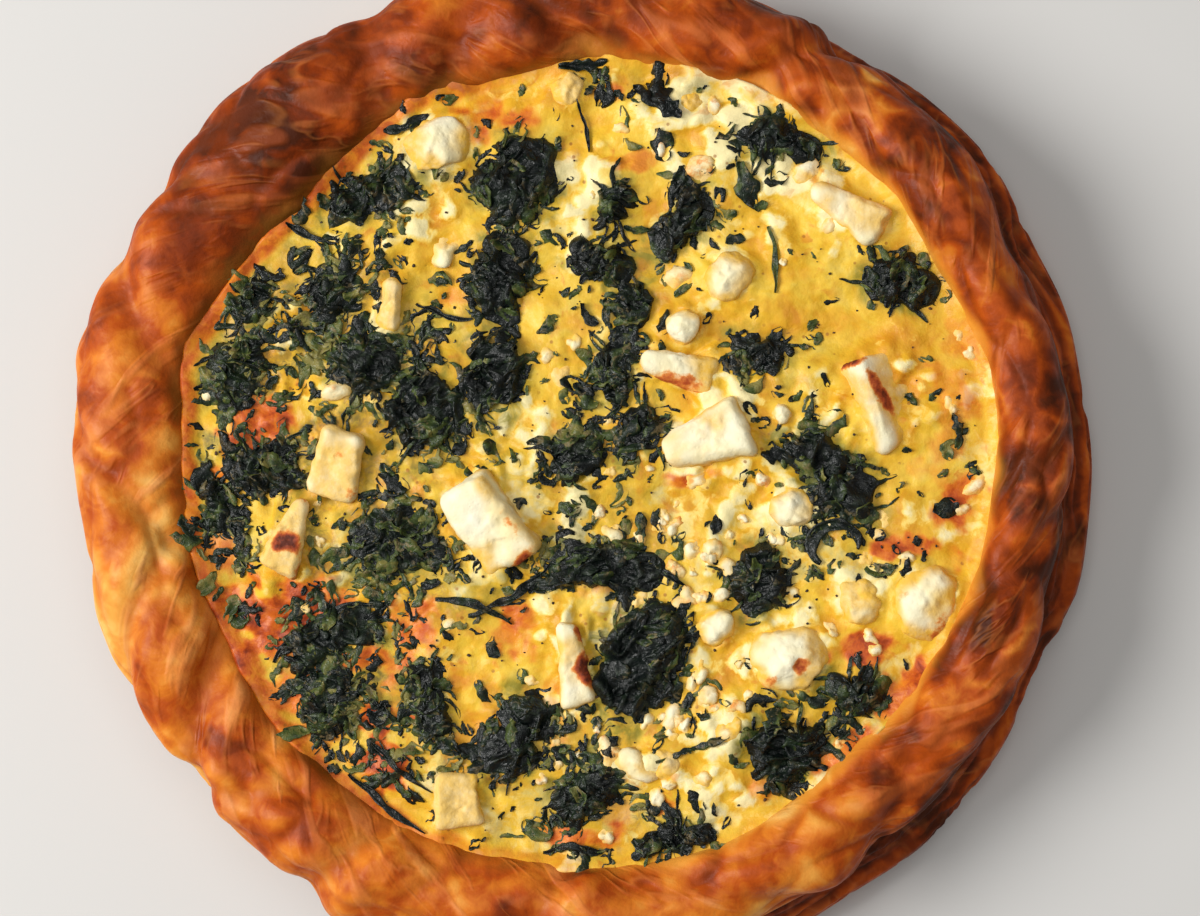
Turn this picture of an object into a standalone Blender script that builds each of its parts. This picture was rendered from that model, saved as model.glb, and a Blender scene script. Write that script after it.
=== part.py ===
"""Puff pastry quiche with spinach and feta, whole and uncut, at its real size.

The object stands on its flat base at z = 0, with the origin under the middle of
its outline, +Z up. A crust of rolled puff pastry holds a slab of baked custard.
Lumps of feta and clumps of cooked spinach sit in pockets of the custard, and
smaller crumbs and shreds are one solid with it. Lengths in the tables are in
millimetres, and MM turns them into metres.
"""
import math
import random

import bmesh
import bpy
import numpy as np

MM = 0.001
NAME = "puff_pastry_quiche"

# Heights above the table
RIM_TOP = 37.0
ROLL_MIDDLE = 26.5
GROOVE_LEVEL = 16.5
LIP_LEVEL = 9.5
FLOOR_LEVEL = 6.0
CUSTARD_LEVEL = 30.0
CUSTARD_EDGE = 28.6

# Radii in plan, and how far each ring's middle lies from where the toppings are measured
LIP_RADIUS = 123.6
LIP_SHIFT = (-1.2, -0.2)
ROLL_RADIUS = 120.6
ROLL_SHIFT = (-3.8, 2.0)
OPENING_RADIUS = 98.2
OPENING_SHIFT = (1.4, 1.4)
FLOOR_RADIUS = 89.0
BASE_RADIUS = 108.0
ROLL_CREST = 109.5

# Rims made by hand: (waves round the rim, height of a wave, turn of its first crest)
LIP_WAVES = ((3, 0.7, 0.4), (8, 0.8, 2.2), (13, 0.5, 4.4), (21, 0.35, 1.0))
ROLL_WAVES = ((4, 0.6, 2.9), (9, 0.7, 0.7), (16, 0.45, 3.3))
OPENING_WAVES = ((5, 0.9, 1.7), (9, 0.8, 0.2), (14, 0.5, 5.2))
CREST_WAVES = ((3, 0.5, 1.2), (7, 0.6, 3.6), (12, 0.4, 0.5))

# How far the rolled edge bulges into the opening, measured at equal steps round it from +X
OPENING_BULGES = (
    0.8, 0.8, 0.5, 0.0, 0.9, 1.0, 2.2, 2.4, 1.5, 2.0, 2.6, 2.6, 1.2, 0.5,
    2.3, 5.2, 8.0, 3.4, 0.8, -2.0, 0.0, -0.5, -0.3, 0.8, 3.0, 3.2, 1.0, -0.3,
    0.3, 0.3, -0.3, 0.8, 0.8, 1.8, 3.2, 3.0, 2.6, 4.2, 3.6, 1.8, 1.8, 1.4,
)

# Seams and dents across the roll: (angle, depth, width along the rim, slant in degrees)
SEAMS = (
    (62.5, 3.4, 5.0, 3.0),
    (94.0, 2.4, 4.5, -5.0),
    (105.0, 1.8, 5.0, 4.0),
    (117.5, 2.2, 6.0, 2.0),
    (141.0, 1.6, 5.0, -4.0),
    (162.0, 2.0, 6.0, 5.0),
    (183.0, 1.6, 5.0, 8.0),
    (196.0, 2.0, 5.0, -7.0),
    (212.5, 3.2, 6.5, -5.0),
    (226.0, 1.5, 5.0, 6.0),
    (239.0, 3.0, 5.0, 2.0),
    (265.0, 2.4, 5.0, 3.0),
    (289.0, 1.4, 6.0, -6.0),
    (318.0, 1.3, 6.0, 7.0),
    (347.0, 1.2, 6.0, -6.0),
    (26.0, 1.3, 6.0, 5.0),
)
PILLOW_WAVES = ((11, 0.7, 0.0, 1.1), (19, 0.55, 2.0, -1.6), (27, 0.4, 4.1, 2.3))

CRUST_SEGMENTS = 84
CUSTARD_SEGMENTS = 42
GAP = 0.3
POCKET_GAP = 0.32
CLUMP_SIDES = 10
HEIGHT_ABOVE = 20.0

# Lazy swells of the baked surface: (wavelength, height, heading in degrees, phase)
CUSTARD_SWELLS = ((46.0, 0.45, 20.0, 0.3), (33.0, 0.4, 105.0, 1.9), (24.0, 0.35, 160.0, 4.0))

# Feta blocks: name: (x, y, length, width, thickness, turn, tilt about the length,
# tilt about the width, rise of the middle above the custard with half the thickness,
# share of the length left at the far end)
FETA_BLOCKS = {
    "feta_block_top": (64.6, 61.6, 12.0, 21.0, 8.0, 58, 3, -6, 4.0, 0.4),
    "feta_block_left": (-59.5, 1.2, 13.0, 17.0, 11.0, -14, 7, 5, 4.6, 0.86),
    "feta_wedge_left": (-71.8, -17.2, 12.0, 20.0, 10.0, -22, -6, 8, 3.6, 0.3),
    "feta_block_middle": (-22.0, -13.2, 17.0, 25.0, 13.0, 33, 10, -14, 5.0, 0.8),
    "feta_fan": (31.0, 6.8, 17.0, 22.0, 9.0, 110, -6, 6, 4.8, 0.4),
    "feta_cube_right": (71.4, 15.4, 15.0, 23.0, 14.0, 27, 12, 36, 2.2, 0.92),
    "feta_burnt_middle": (-2.2, -47.0, 9.0, 22.0, 10.0, 9, 5, 7, 4.4, 0.6),
    "feta_cube_low": (-29.6, -80.8, 12.6, 13.6, 9.0, 4, -5, 9, 4.4, 0.9),
    "feta_wedge_upper": (23.2, 23.6, 10.0, 19.0, 8.0, 76, 8, 3, 3.8, 0.55),
    "feta_sliver_left": (-47.3, 39.3, 6.5, 13.0, 7.0, -8, 4, 6, 2.8, 0.7),
}

# Rounded feta lumps: name: (x, y, length, width, turn, rise above custard)
FETA_LUMPS = {
    "feta_lump_top_left": (-35.4, 78.1, 17.0, 14.0, 25, 4.4),
    "feta_lump_top": (-3.9, 92.0, 9.0, 9.0, 10, 2.8),
    "feta_lump_top_right": (25.6, 88.1, 8.5, 8.0, 0, 2.6),
    "feta_lump_bright": (35.9, 45.6, 12.5, 11.0, 30, 4.2),
    "feta_lump_centre": (24.6, 33.6, 9.4, 9.0, 0, 4.6),
    "feta_lump_right": (50.8, -10.2, 12.0, 11.0, 15, 4.0),
    "feta_lump_low_middle": (32.0, -38.6, 10.0, 9.6, 0, 3.8),
    "feta_lump_round": (50.0, -45.9, 19.5, 19.0, 20, 5.0),
    "feta_lump_smooth": (67.6, -32.0, 11.0, 11.5, 0, 3.6),
    "feta_lump_crumbly": (82.4, -32.5, 15.5, 18.5, -20, 4.6),
    "feta_lump_low": (19.8, -71.6, 9.0, 9.0, 0, 3.0),
    "feta_lump_low_right": (35.6, -63.0, 9.0, 8.0, 0, 3.0),
}

# Spinach clumps: name: (x, y, length, width, turn, lobes, rise above custard)
SPINACH = {
    "spinach_top_middle": (-15.9, 69.5, 23.0, 20.0, 80, 5, 4.2),
    "spinach_upper_middle": (-19.3, 45.4, 25.0, 15.0, 84, 4, 4.0),
    "spinach_top_left": (-53.4, 66.0, 25.0, 13.0, 14, 4, 3.6),
    "spinach_left_fold": (-60.8, 43.0, 15.0, 13.0, 40, 3, 3.2),
    "spinach_far_left_top": (-81.0, 42.2, 15.0, 10.0, 70, 4, 2.8),
    "spinach_far_left": (-85.0, 23.6, 19.0, 15.0, 60, 5, 3.4),
    "spinach_left": (-77.3, -0.4, 19.0, 14.0, 20, 4, 3.2),
    "spinach_left_edge": (-90.6, -9.4, 14.0, 7.5, 96, 3, 2.4),
    "spinach_mass_left": (-53.5, 25.4, 19.0, 15.0, -20, 4, 3.4),
    "spinach_mass_low": (-37.6, 14.4, 21.0, 19.0, 40, 5, 3.8),
    "spinach_mass_right": (-21.6, 22.6, 21.0, 16.0, 70, 4, 4.0),
    "spinach_lower_left": (-46.0, -17.8, 22.0, 18.0, 10, 5, 3.6),
    "spinach_small_top": (9.0, 63.4, 11.0, 8.0, 60, 3, 2.8),
    "spinach_strand_upper": (4.4, 49.6, 17.0, 9.0, -18, 3, 3.0),
    "spinach_sprig": (24.2, 58.4, 21.0, 10.0, 42, 4, 3.4),
    "spinach_sprig_root": (12.6, 38.4, 12.0, 10.0, 70, 3, 3.2),
    "spinach_centre": (9.2, 23.2, 20.0, 11.0, 76, 4, 3.4),
    "spinach_centre_left": (-1.2, 2.6, 15.0, 12.0, 30, 4, 3.0),
    "spinach_centre_right": (13.0, 8.2, 16.0, 11.0, 60, 4, 3.2),
    "spinach_top_right": (48.8, 79.8, 22.0, 11.0, 0, 5, 3.4),
    "spinach_right_leaf": (78.6, 45.0, 22.0, 13.0, 6, 5, 3.6),
    "spinach_right_mass": (61.9, -1.0, 28.0, 21.0, -22, 5, 4.8),
    "spinach_right_lower": (42.8, -27.2, 18.0, 14.0, 70, 4, 4.0),
    "spinach_upper_right": (42.6, 27.4, 15.0, 8.5, -25, 3, 2.8),
    "spinach_lower_middle": (14.6, -47.2, 30.0, 21.0, 70, 6, 4.8),
    "spinach_band_middle": (5.6, -23.4, 28.0, 12.0, -6, 5, 3.6),
    "spinach_low": (-16.0, -64.0, 25.0, 15.0, 62, 5, 4.0),
    "spinach_low_strands": (0.8, -78.4, 19.0, 13.0, 48, 4, 3.0),
    "spinach_low_left_strip": (-37.0, -56.0, 20.0, 9.0, 96, 4, 3.0),
    "spinach_low_left_top": (-61.5, -41.0, 27.0, 9.0, 24, 3, 3.2),
    "spinach_low_left": (-62.6, -57.4, 18.0, 13.0, 70, 4, 3.4),
    "spinach_low_right": (49.6, -70.4, 24.0, 19.0, -40, 5, 4.4),
    "spinach_far_right_low": (67.0, -54.6, 18.0, 10.0, -20, 4, 3.2),
    "spinach_bottom": (22.6, -90.2, 19.0, 8.0, 8, 4, 3.0),
}

# Crumbs of feta in one piece with the custard: (x, y, size)
FETA_CRUMBS = (
    (9.3, 79.5, 5.0), (54.7, 67.8, 6.0), (62.2, 50.2, 5.0), (93.0, 28.5, 6.0),
    (27.2, -28.6, 6.0), (31.8, -53.4, 5.4), (25.2, -81.0, 4.4), (30.6, -78.4, 4.4),
    (40.2, -83.4, 5.4), (57.4, -29.6, 5.4), (-67.6, 54.4, 5.0), (-34.0, 55.6, 4.4),
    (-40.2, 60.4, 5.0), (-3.2, 59.6, 4.6), (-8.0, 33.0, 5.0), (-2.6, 30.0, 5.6),
    (11.5, -6.5, 4.0), (25.6, -12.6, 4.6), (32.5, -9.0, 4.4), (24.4, -19.8, 4.0),
    (-6.0, 80.0, 4.6), (70.0, 30.5, 4.0), (45.6, -92.0, 4.4), (-44.0, 46.5, 4.6),
)

# Shreds of spinach in one piece with the custard: (x, y, length, heading in degrees)
SPINACH_SHREDS = (
    (-70.0, 54.0, 7.0, 60), (-92.6, 9.5, 7.0, 80), (38.6, 71.6, 8.0, 20),
    (-7.0, 99.0, 7.0, 5), (-44.9, 86.6, 8.0, 20), (-10.2, -93.4, 7.0, -20),
    (7.0, -92.2, 7.0, 15), (-49.0, -74.6, 8.0, -40), (-40.0, -72.4, 7.0, -60),
    (28.4, -67.4, 5.0, 30), (91.2, 1.6, 7.0, 30), (88.6, 17.8, 6.0, -60),
    (61.0, -20.6, 7.0, 80), (-26.0, -35.0, 8.0, 20), (-18.0, -38.4, 7.0, -30),
    (-32.4, -40.2, 7.0, 60), (22.0, 72.0, 6.0, 60), (52.6, 42.6, 7.0, 85),
    (57.0, 24.0, 7.0, 10), (-3.4, -6.6, 7.0, 60), (-90.0, -30.0, 6.0, 45),
    (-80.0, -36.5, 6.0, 0), (-67.0, 17.6, 6.0, 70), (2.2, 78.6, 8.0, 78),
)
CRUMB_HEIGHT = 2.2
SHRED_WIDTH = 2.6
SHRED_HEIGHT = 1.6

# Surface colours, roughness
FINISHES = {
    "pastry": ((0.60, 0.25, 0.06), 0.38),
    "custard": ((0.83, 0.53, 0.13), 0.45),
    "feta": ((0.90, 0.85, 0.66), 0.6),
    "spinach": ((0.035, 0.065, 0.03), 0.4),
}


def empty_scene():
    """Remove every object that the opened file came with."""
    for item in list(bpy.data.objects):
        bpy.data.objects.remove(item, do_unlink=True)


def material(slot):
    """The Principled material of one finish."""
    colour, roughness = FINISHES[slot]
    made = bpy.data.materials.get(slot) or bpy.data.materials.new(slot)
    made.use_nodes = True
    shader = made.node_tree.nodes["Principled BSDF"]
    shader.inputs["Base Color"].default_value = (*colour, 1.0)
    shader.inputs["Roughness"].default_value = roughness
    shader.inputs["Metallic"].default_value = 0.0
    return made


def add_object(name, mesh, collection, slot=None):
    """Put a mesh in a collection as an object of that name."""
    item = bpy.data.objects.new(name, mesh)
    collection.objects.link(item)
    if slot:
        mesh.materials.clear()
        mesh.materials.append(material(slot))
    return item


def evaluated_mesh(item):
    """A copy of the mesh that an object's modifiers make."""
    bpy.context.view_layer.update()
    graph = bpy.context.evaluated_depsgraph_get()
    return bpy.data.meshes.new_from_object(item.evaluated_get(graph))


def smooth_step(low, high, values):
    """0 below low and 1 above high, with a soft S between; low may be the larger."""
    share = np.clip((values - low) / (high - low), 0.0, 1.0)
    return share * share * (3.0 - 2.0 * share)


def ring_radius(radius, shift, waves, angle):
    """Distance from the origin to a wavy circle whose middle is shifted."""
    along = shift[0] * np.cos(angle) + shift[1] * np.sin(angle)
    across = shift[0] * np.sin(angle) - shift[1] * np.cos(angle)
    distance = along + np.sqrt(radius * radius - across * across)
    for count, height, turn in waves:
        distance = distance + height * np.sin(count * angle + turn)
    return distance


def opening_radius(angle):
    """Distance from the middle of the plan to the edge of the opening."""
    steps = np.linspace(0.0, 2.0 * math.pi, len(OPENING_BULGES), endpoint=False)
    bulge = np.interp(angle, steps, OPENING_BULGES, period=2.0 * math.pi)
    return ring_radius(OPENING_RADIUS, OPENING_SHIFT, OPENING_WAVES, angle) - bulge


def roll_radius(angle):
    return ring_radius(ROLL_RADIUS, ROLL_SHIFT, ROLL_WAVES, angle)


def lip_radius(angle):
    return ring_radius(LIP_RADIUS, LIP_SHIFT, LIP_WAVES, angle)


def roll_relief(angle, over):
    """How far the rolled rim swells or sinks, at an angle round the quiche.

    over is the angle over the roll, 0 on its outer side and pi on its inner side.
    """
    swell = np.zeros_like(angle)
    for count, height, turn, slant in PILLOW_WAVES:
        swell += height * np.sin(count * angle + slant * over + turn)
    degrees = np.degrees(angle)
    for middle, depth, width, slant in SEAMS:
        line = middle + slant * (over - math.pi / 2)
        away = (degrees - line + 180.0) % 360.0 - 180.0
        swell -= depth * np.exp(-((2.0 * away / width) ** 2))
        swell += 0.35 * depth * np.exp(-((2.0 * (away - 0.9 * width) / width) ** 2))
    return swell


def crust_shape(points):
    """Turn the plain turned crust into the uneven hand-rolled one.

    Inside the roll, radii run from the opening's edge to the roll's edge, and
    below the groove they follow the lip. The roll then swells and sinks about
    its own middle line.
    """
    x, y, z = points.T
    angle = np.arctan2(y, x)
    radius = np.hypot(x, y)
    inside = opening_radius(angle)
    outside = roll_radius(angle)
    share = (radius - OPENING_RADIUS) / (ROLL_RADIUS - OPENING_RADIUS)
    rolled = np.where(share > 0.0, inside + share * (outside - inside), radius * inside / OPENING_RADIUS)
    lipped = radius * lip_radius(angle) / LIP_RADIUS
    low = smooth_step(GROOVE_LEVEL + 4.0, GROOVE_LEVEL - 1.0, z) * (radius > OPENING_RADIUS + 1.0)
    base = z < 0.01
    plan = np.where(base, lipped, rolled + low * (lipped - rolled))
    from_middle = radius - ROLL_CREST
    above_middle = z - ROLL_MIDDLE
    over = np.arctan2(above_middle, from_middle)
    free = smooth_step(GROOVE_LEVEL, GROOVE_LEVEL + 6.0, z)
    free *= np.where(from_middle < 0.0, smooth_step(CUSTARD_LEVEL + 1.6, RIM_TOP - 1.0, z), 1.0)
    free *= radius > OPENING_RADIUS - 0.5
    swell = free * roll_relief(angle, np.clip(over, 0.0, math.pi))
    crest = sum(height * np.sin(count * angle + turn) for count, height, turn in CREST_WAVES)
    plan = plan + swell * np.cos(over)
    height = z + swell * np.sin(over) + free * crest * smooth_step(ROLL_MIDDLE, RIM_TOP, z)
    return np.column_stack((plan * np.cos(angle), plan * np.sin(angle), height))


def custard_height(x, y):
    """Height of the baked surface at a place in plan."""
    height = CUSTARD_LEVEL + np.zeros_like(x)
    for wavelength, rise, heading, phase in CUSTARD_SWELLS:
        turn = math.radians(heading)
        path = x * math.cos(turn) + y * math.sin(turn)
        height = height + rise * np.sin(2.0 * math.pi * path / wavelength + phase)
    from_edge = opening_radius(np.arctan2(y, x)) - np.hypot(x, y)
    inner = smooth_step(1.0, 14.0, from_edge)
    return CUSTARD_EDGE + inner * (height - CUSTARD_EDGE)


def custard_shape(points):
    """Give the turned slab the opening's outline and the uneven baked surface."""
    x, y, z = points.T
    angle = np.arctan2(y, x)
    radius = np.hypot(x, y)
    plan = radius * (opening_radius(angle) - GAP) / (OPENING_RADIUS - GAP)
    x, y = plan * np.cos(angle), plan * np.sin(angle)
    top = z > CUSTARD_EDGE - 0.01
    return np.column_stack((x, y, np.where(top, custard_height(x, y), z)))


def wall_radius(height):
    """Radius of the crust's inner wall, which leans outwards to the opening."""
    share = (height - FLOOR_LEVEL) / (CUSTARD_LEVEL + 1.0 - FLOOR_LEVEL)
    return FLOOR_RADIUS + share * (OPENING_RADIUS - FLOOR_RADIUS)


def crust_profile():
    """Section of the crust at +X, from the floor's middle over the roll to the base."""
    points = [(0.0, FLOOR_LEVEL), (FLOOR_RADIUS, FLOOR_LEVEL), (OPENING_RADIUS, CUSTARD_LEVEL + 1.0)]
    inner_reach = ROLL_CREST - OPENING_RADIUS
    outer_reach = ROLL_RADIUS - ROLL_CREST
    rise = RIM_TOP - ROLL_MIDDLE
    for degrees in (148, 122, 98, 76, 54, 30, 6, -18, -40):
        turn = math.radians(degrees)
        reach = inner_reach if degrees > 90 else outer_reach
        points.append((ROLL_CREST + reach * math.cos(turn), ROLL_MIDDLE + rise * math.sin(turn)))
    points += [
        (ROLL_RADIUS - 3.6, GROOVE_LEVEL),
        (ROLL_RADIUS - 1.0, GROOVE_LEVEL - 2.6),
        (LIP_RADIUS - 0.6, LIP_LEVEL + 2.2),
        (LIP_RADIUS, LIP_LEVEL),
        (LIP_RADIUS - 2.4, LIP_LEVEL - 3.6),
        (BASE_RADIUS + 6.0, 1.6),
        (BASE_RADIUS, 0.0),
        (0.0, 0.0),
    ]
    return points


def custard_profile():
    """Section of the custard slab at +X, from the middle of its top to its underside."""
    rings = 7
    edge = wall_radius(CUSTARD_EDGE) - GAP
    underside = FLOOR_LEVEL + GAP
    points = [(edge * step / rings, CUSTARD_EDGE) for step in range(rings + 1)]
    return points + [(wall_radius(underside) - 1.4 * GAP, underside), (0.0, underside)]


def turned(name, profile, segments, reshape, collection, slot):
    """Turn a section about +Z, then move its points by a rule given in millimetres."""
    edges = [(index, index + 1) for index in range(len(profile) - 1)]
    section = bpy.data.meshes.new(name + "_section")
    section.from_pydata([(x * MM, 0.0, z * MM) for x, z in profile], edges, [])
    guide = add_object(name + "_section", section, collection)
    screw = guide.modifiers.new("turn", "SCREW")
    screw.axis = "Z"
    screw.angle = 2.0 * math.pi
    screw.steps = segments
    screw.render_steps = segments
    screw.use_merge_vertices = True
    screw.merge_threshold = 0.01 * MM
    mesh = evaluated_mesh(guide)
    bpy.data.objects.remove(guide, do_unlink=True)
    points = np.empty(len(mesh.vertices) * 3, dtype=np.float32)
    mesh.vertices.foreach_get("co", points)
    moved = reshape(points.reshape(-1, 3).astype(np.float64) / MM) * MM
    mesh.vertices.foreach_set("co", moved.astype(np.float32).ravel())
    mesh.name = name
    item = add_object(name, mesh, collection, slot)
    mesh.shade_smooth()
    return item


def clump_outline(length, width, turn, lobes, seed):
    """Outline of a leafy clump about its own middle: an oval with uneven lobes."""
    draw = random.Random(seed)
    phase, second = draw.uniform(0.0, 6.3), draw.uniform(0.0, 6.3)
    angles = np.linspace(0.0, 2.0 * math.pi, CLUMP_SIDES, endpoint=False)
    angles = angles + np.array([draw.uniform(-0.1, 0.1) for _ in range(CLUMP_SIDES)])
    scale = 1.03 + 0.1 * np.sin(lobes * angles + phase) + 0.06 * np.sin((lobes + 2) * angles + second)
    x = 0.5 * length * scale * np.cos(angles)
    y = 0.5 * width * scale * np.sin(angles)
    heading = math.radians(turn)
    return np.column_stack((x * math.cos(heading) - y * math.sin(heading),
                            x * math.sin(heading) + y * math.cos(heading)))


def convex_outline(points):
    """The convex outline of points in plan, anticlockwise (monotone chain)."""
    order = sorted(set(map(tuple, np.round(points, 5))))

    def half(sequence):
        chain = []
        for point in sequence:
            while len(chain) > 1:
                (ax, ay), (bx, by) = chain[-2], chain[-1]
                if (bx - ax) * (point[1] - ay) - (by - ay) * (point[0] - ax) > 1e-6:
                    break
                chain.pop()
            chain.append(point)
        return chain[:-1]

    return np.array(half(order) + half(order[::-1]))


def keep_apart(outlines, middles, soft_names, gap):
    """Trim each soft outline to its own side of the lines between it and its neighbours."""
    trimmed = {}
    for name in soft_names:
        outline, middle = outlines[name].copy(), middles[name]
        for other, other_outline in outlines.items():
            between = middles[other] - middle
            distance = np.linalg.norm(between)
            if other == name or distance > 45.0:
                continue
            towards = between / distance
            own_reach = (outlines[name] @ towards).max()
            other_reach = (other_outline @ -towards).max()
            if other in soft_names:
                line = own_reach + 0.5 * (distance - own_reach - other_reach)
            else:
                line = distance - other_reach - gap
            reach = outline @ towards
            limit = max(line - gap, 1.5)
            outline[reach > limit] *= (limit / reach[reach > limit])[:, None]
        from_origin = middle + outline
        spread = np.hypot(*from_origin.T)
        angle = np.arctan2(from_origin[:, 1], from_origin[:, 0])
        edge = opening_radius(angle) - 2.6
        outline = from_origin * np.minimum(1.0, edge / spread)[:, None] - middle
        trimmed[name] = outline
    return trimmed


def clump_mesh(name, outline, sink, rise, seed):
    """A clump in its pocket: flat below, full at the surface, crumpled into folds on top."""
    draw = random.Random(seed)
    sides = len(outline)
    rings = ((0.8, -sink, 0.0), (1.0, 0.25 * rise, 0.12), (0.74, 0.72 * rise, 0.3), (0.38, rise, 0.34))
    points = []
    for share, height, uneven in rings:
        for side in range(sides):
            fold = uneven * rise * (1.0 if side % 2 else -1.0) * draw.uniform(0.5, 1.0)
            points.append((*(outline[side] * share), height + fold))
    points.append((0.0, 0.0, 0.8 * rise))
    faces = [tuple(range(sides - 1, -1, -1))]
    for ring in range(len(rings) - 1):
        for side in range(sides):
            following = (side + 1) % sides
            low, high = ring * sides, (ring + 1) * sides
            faces.append((low + side, low + following, high + following, high + side))
    last = (len(rings) - 1) * sides
    faces += [(last + side, last + (side + 1) % sides, len(points) - 1) for side in range(sides)]
    mesh = bpy.data.meshes.new(name)
    mesh.from_pydata([(x * MM, y * MM, z * MM) for x, y, z in points], [], faces)
    return mesh


def add_spinach(name, outline, collection, holder):
    x, y, length, width, turn, lobes, rise = SPINACH[name]
    mesh = clump_mesh(name, outline, 3.0, rise, name)
    item = add_object(name, mesh, collection, "spinach")
    item.location = (x * MM, y * MM, float(custard_height(np.float64(x), np.float64(y))) * MM)
    item.parent = holder
    mesh.shade_smooth()
    mesh.set_sharp_from_angle(angle=math.radians(40.0))
    return item


def add_feta_block(name, collection, holder):
    """A cut cube of feta with broken, uneven corners and worn edges, tilted in the custard."""
    x, y, length, width, thickness, turn, tilt_x, tilt_y, rise, taper = FETA_BLOCKS[name]
    draw = random.Random(name)
    form = bmesh.new()
    bmesh.ops.create_cube(form, size=1.0)
    for vertex in form.verts:
        uneven = [draw.uniform(0.86, 1.0) for _ in range(3)]
        size = (length * (taper if vertex.co.y > 0.0 else 1.0), width, thickness)
        vertex.co = [vertex.co[axis] * size[axis] * uneven[axis] * MM for axis in range(3)]
    mesh = bpy.data.meshes.new(name)
    form.to_mesh(mesh)
    form.free()
    item = add_object(name, mesh, collection, "feta")
    level = float(custard_height(np.float64(x), np.float64(y)))
    item.rotation_euler = (math.radians(tilt_x), math.radians(tilt_y), math.radians(turn))
    item.location = (x * MM, y * MM, (level + rise - 0.5 * thickness) * MM)
    item.parent = holder
    worn = item.modifiers.new("worn_edges", "BEVEL")
    worn.width = 1.3 * MM
    worn.segments = 1
    return item


def add_feta_lump(name, collection, holder):
    """A crumbled lump of feta: a flattened ball with uneven facets."""
    x, y, length, width, turn, rise = FETA_LUMPS[name]
    draw = random.Random(name)
    form = bmesh.new()
    bmesh.ops.create_icosphere(form, subdivisions=2, radius=1.0)
    for vertex in form.verts:
        uneven = draw.uniform(0.88, 1.04)
        depth = rise if vertex.co.z > 0.0 else 3.4
        vertex.co = (vertex.co.x * 0.5 * length * uneven * MM,
                     vertex.co.y * 0.5 * width * uneven * MM,
                     vertex.co.z * depth * uneven * MM)
    mesh = bpy.data.meshes.new(name)
    form.to_mesh(mesh)
    form.free()
    item = add_object(name, mesh, collection, "feta")
    item.rotation_euler = (0.0, 0.0, math.radians(turn))
    item.location = (x * MM, y * MM, float(custard_height(np.float64(x), np.float64(y))) * MM)
    item.parent = holder
    mesh.shade_smooth()
    return item


def points_in_plan(item):
    """An object's points after its modifiers, in millimetres, before the holder moves it."""
    mesh = evaluated_mesh(item)
    points = np.empty(len(mesh.vertices) * 3, dtype=np.float32)
    mesh.vertices.foreach_get("co", points)
    place = np.array(item.matrix_basis)
    points = points.reshape(-1, 3) @ place[:3, :3].T + place[:3, 3]
    bpy.data.meshes.remove(mesh)
    return points / MM


def add_shaft(form, outline, middle, bottom):
    """Add a straight-sided shaft, from a pocket's floor to well above the surface."""
    low = [form.verts.new((*(point * MM), bottom * MM)) for point in outline + middle]
    high = [form.verts.new((*(point * MM), (CUSTARD_LEVEL + HEIGHT_ABOVE) * MM)) for point in outline + middle]
    form.faces.new(low[::-1])
    form.faces.new(high)
    for side in range(len(low)):
        following = (side + 1) % len(low)
        form.faces.new((low[side], low[following], high[following], high[side]))


def widened(outline, gap):
    """An outline grown outwards from its middle by a gap."""
    reach = np.linalg.norm(outline, axis=1, keepdims=True)
    return outline * (reach + gap) / reach


def add_bit(form, x, y, sizes, heading, sink, seed):
    """Add one crumb or shred: a small faceted ball, stretched, laid on the custard."""
    draw = random.Random(seed)
    made = bmesh.ops.create_icosphere(form, subdivisions=1, radius=0.5)
    level = float(custard_height(np.float64(x), np.float64(y)))
    turn = math.radians(heading)
    for vertex in made["verts"]:
        uneven = draw.uniform(0.9, 1.1)
        along, across, up = (vertex.co[axis] * sizes[axis] * uneven for axis in range(3))
        vertex.co = ((x + along * math.cos(turn) - across * math.sin(turn)) * MM,
                     (y + along * math.sin(turn) + across * math.cos(turn)) * MM,
                     (level + up + sink) * MM)


def is_clear(x, y, reach, outlines, middles, placed):
    """Whether a bit of that reach stays clear of the toppings, the crust and other bits."""
    place = np.array((x, y))
    if np.hypot(x, y) > opening_radius(math.atan2(y, x)) - reach - 2.0:
        return False
    for name, outline in outlines.items():
        edge = outline + middles[name] - place
        following = np.roll(edge, -1, axis=0)
        span = following - edge
        share = np.clip(-(edge * span).sum(1) / (span * span).sum(1), 0.0, 1.0)
        if np.linalg.norm(edge + span * share[:, None], axis=1).min() < reach + 0.7:
            return False
        turns = np.cross(np.column_stack((edge, np.zeros(len(edge)))),
                         np.column_stack((following, np.zeros(len(edge)))))[:, 2]
        if (turns > 0.0).all():
            return False
    return all(math.dist((x, y), (px, py)) > reach + other + 0.5 for px, py, other in placed)


def small_bits(outlines, middles):
    """One mesh of all the crumbs and shreds that find room between the toppings."""
    bits = []
    placed = []
    for x, y, size in FETA_CRUMBS:
        if is_clear(x, y, 0.55 * size, outlines, middles, placed):
            placed.append((x, y, 0.55 * size))
            bits.append((x, y, (size, 0.85 * size, 2.0 * CRUMB_HEIGHT), 10.0 * x, 0.2))
    for x, y, length, heading in SPINACH_SHREDS:
        if is_clear(x, y, 0.55 * length, outlines, middles, placed):
            placed.append((x, y, 0.55 * length))
            bits.append((x, y, (length, SHRED_WIDTH, 2.0 * SHRED_HEIGHT), heading, 0.1))
    return bits


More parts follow.
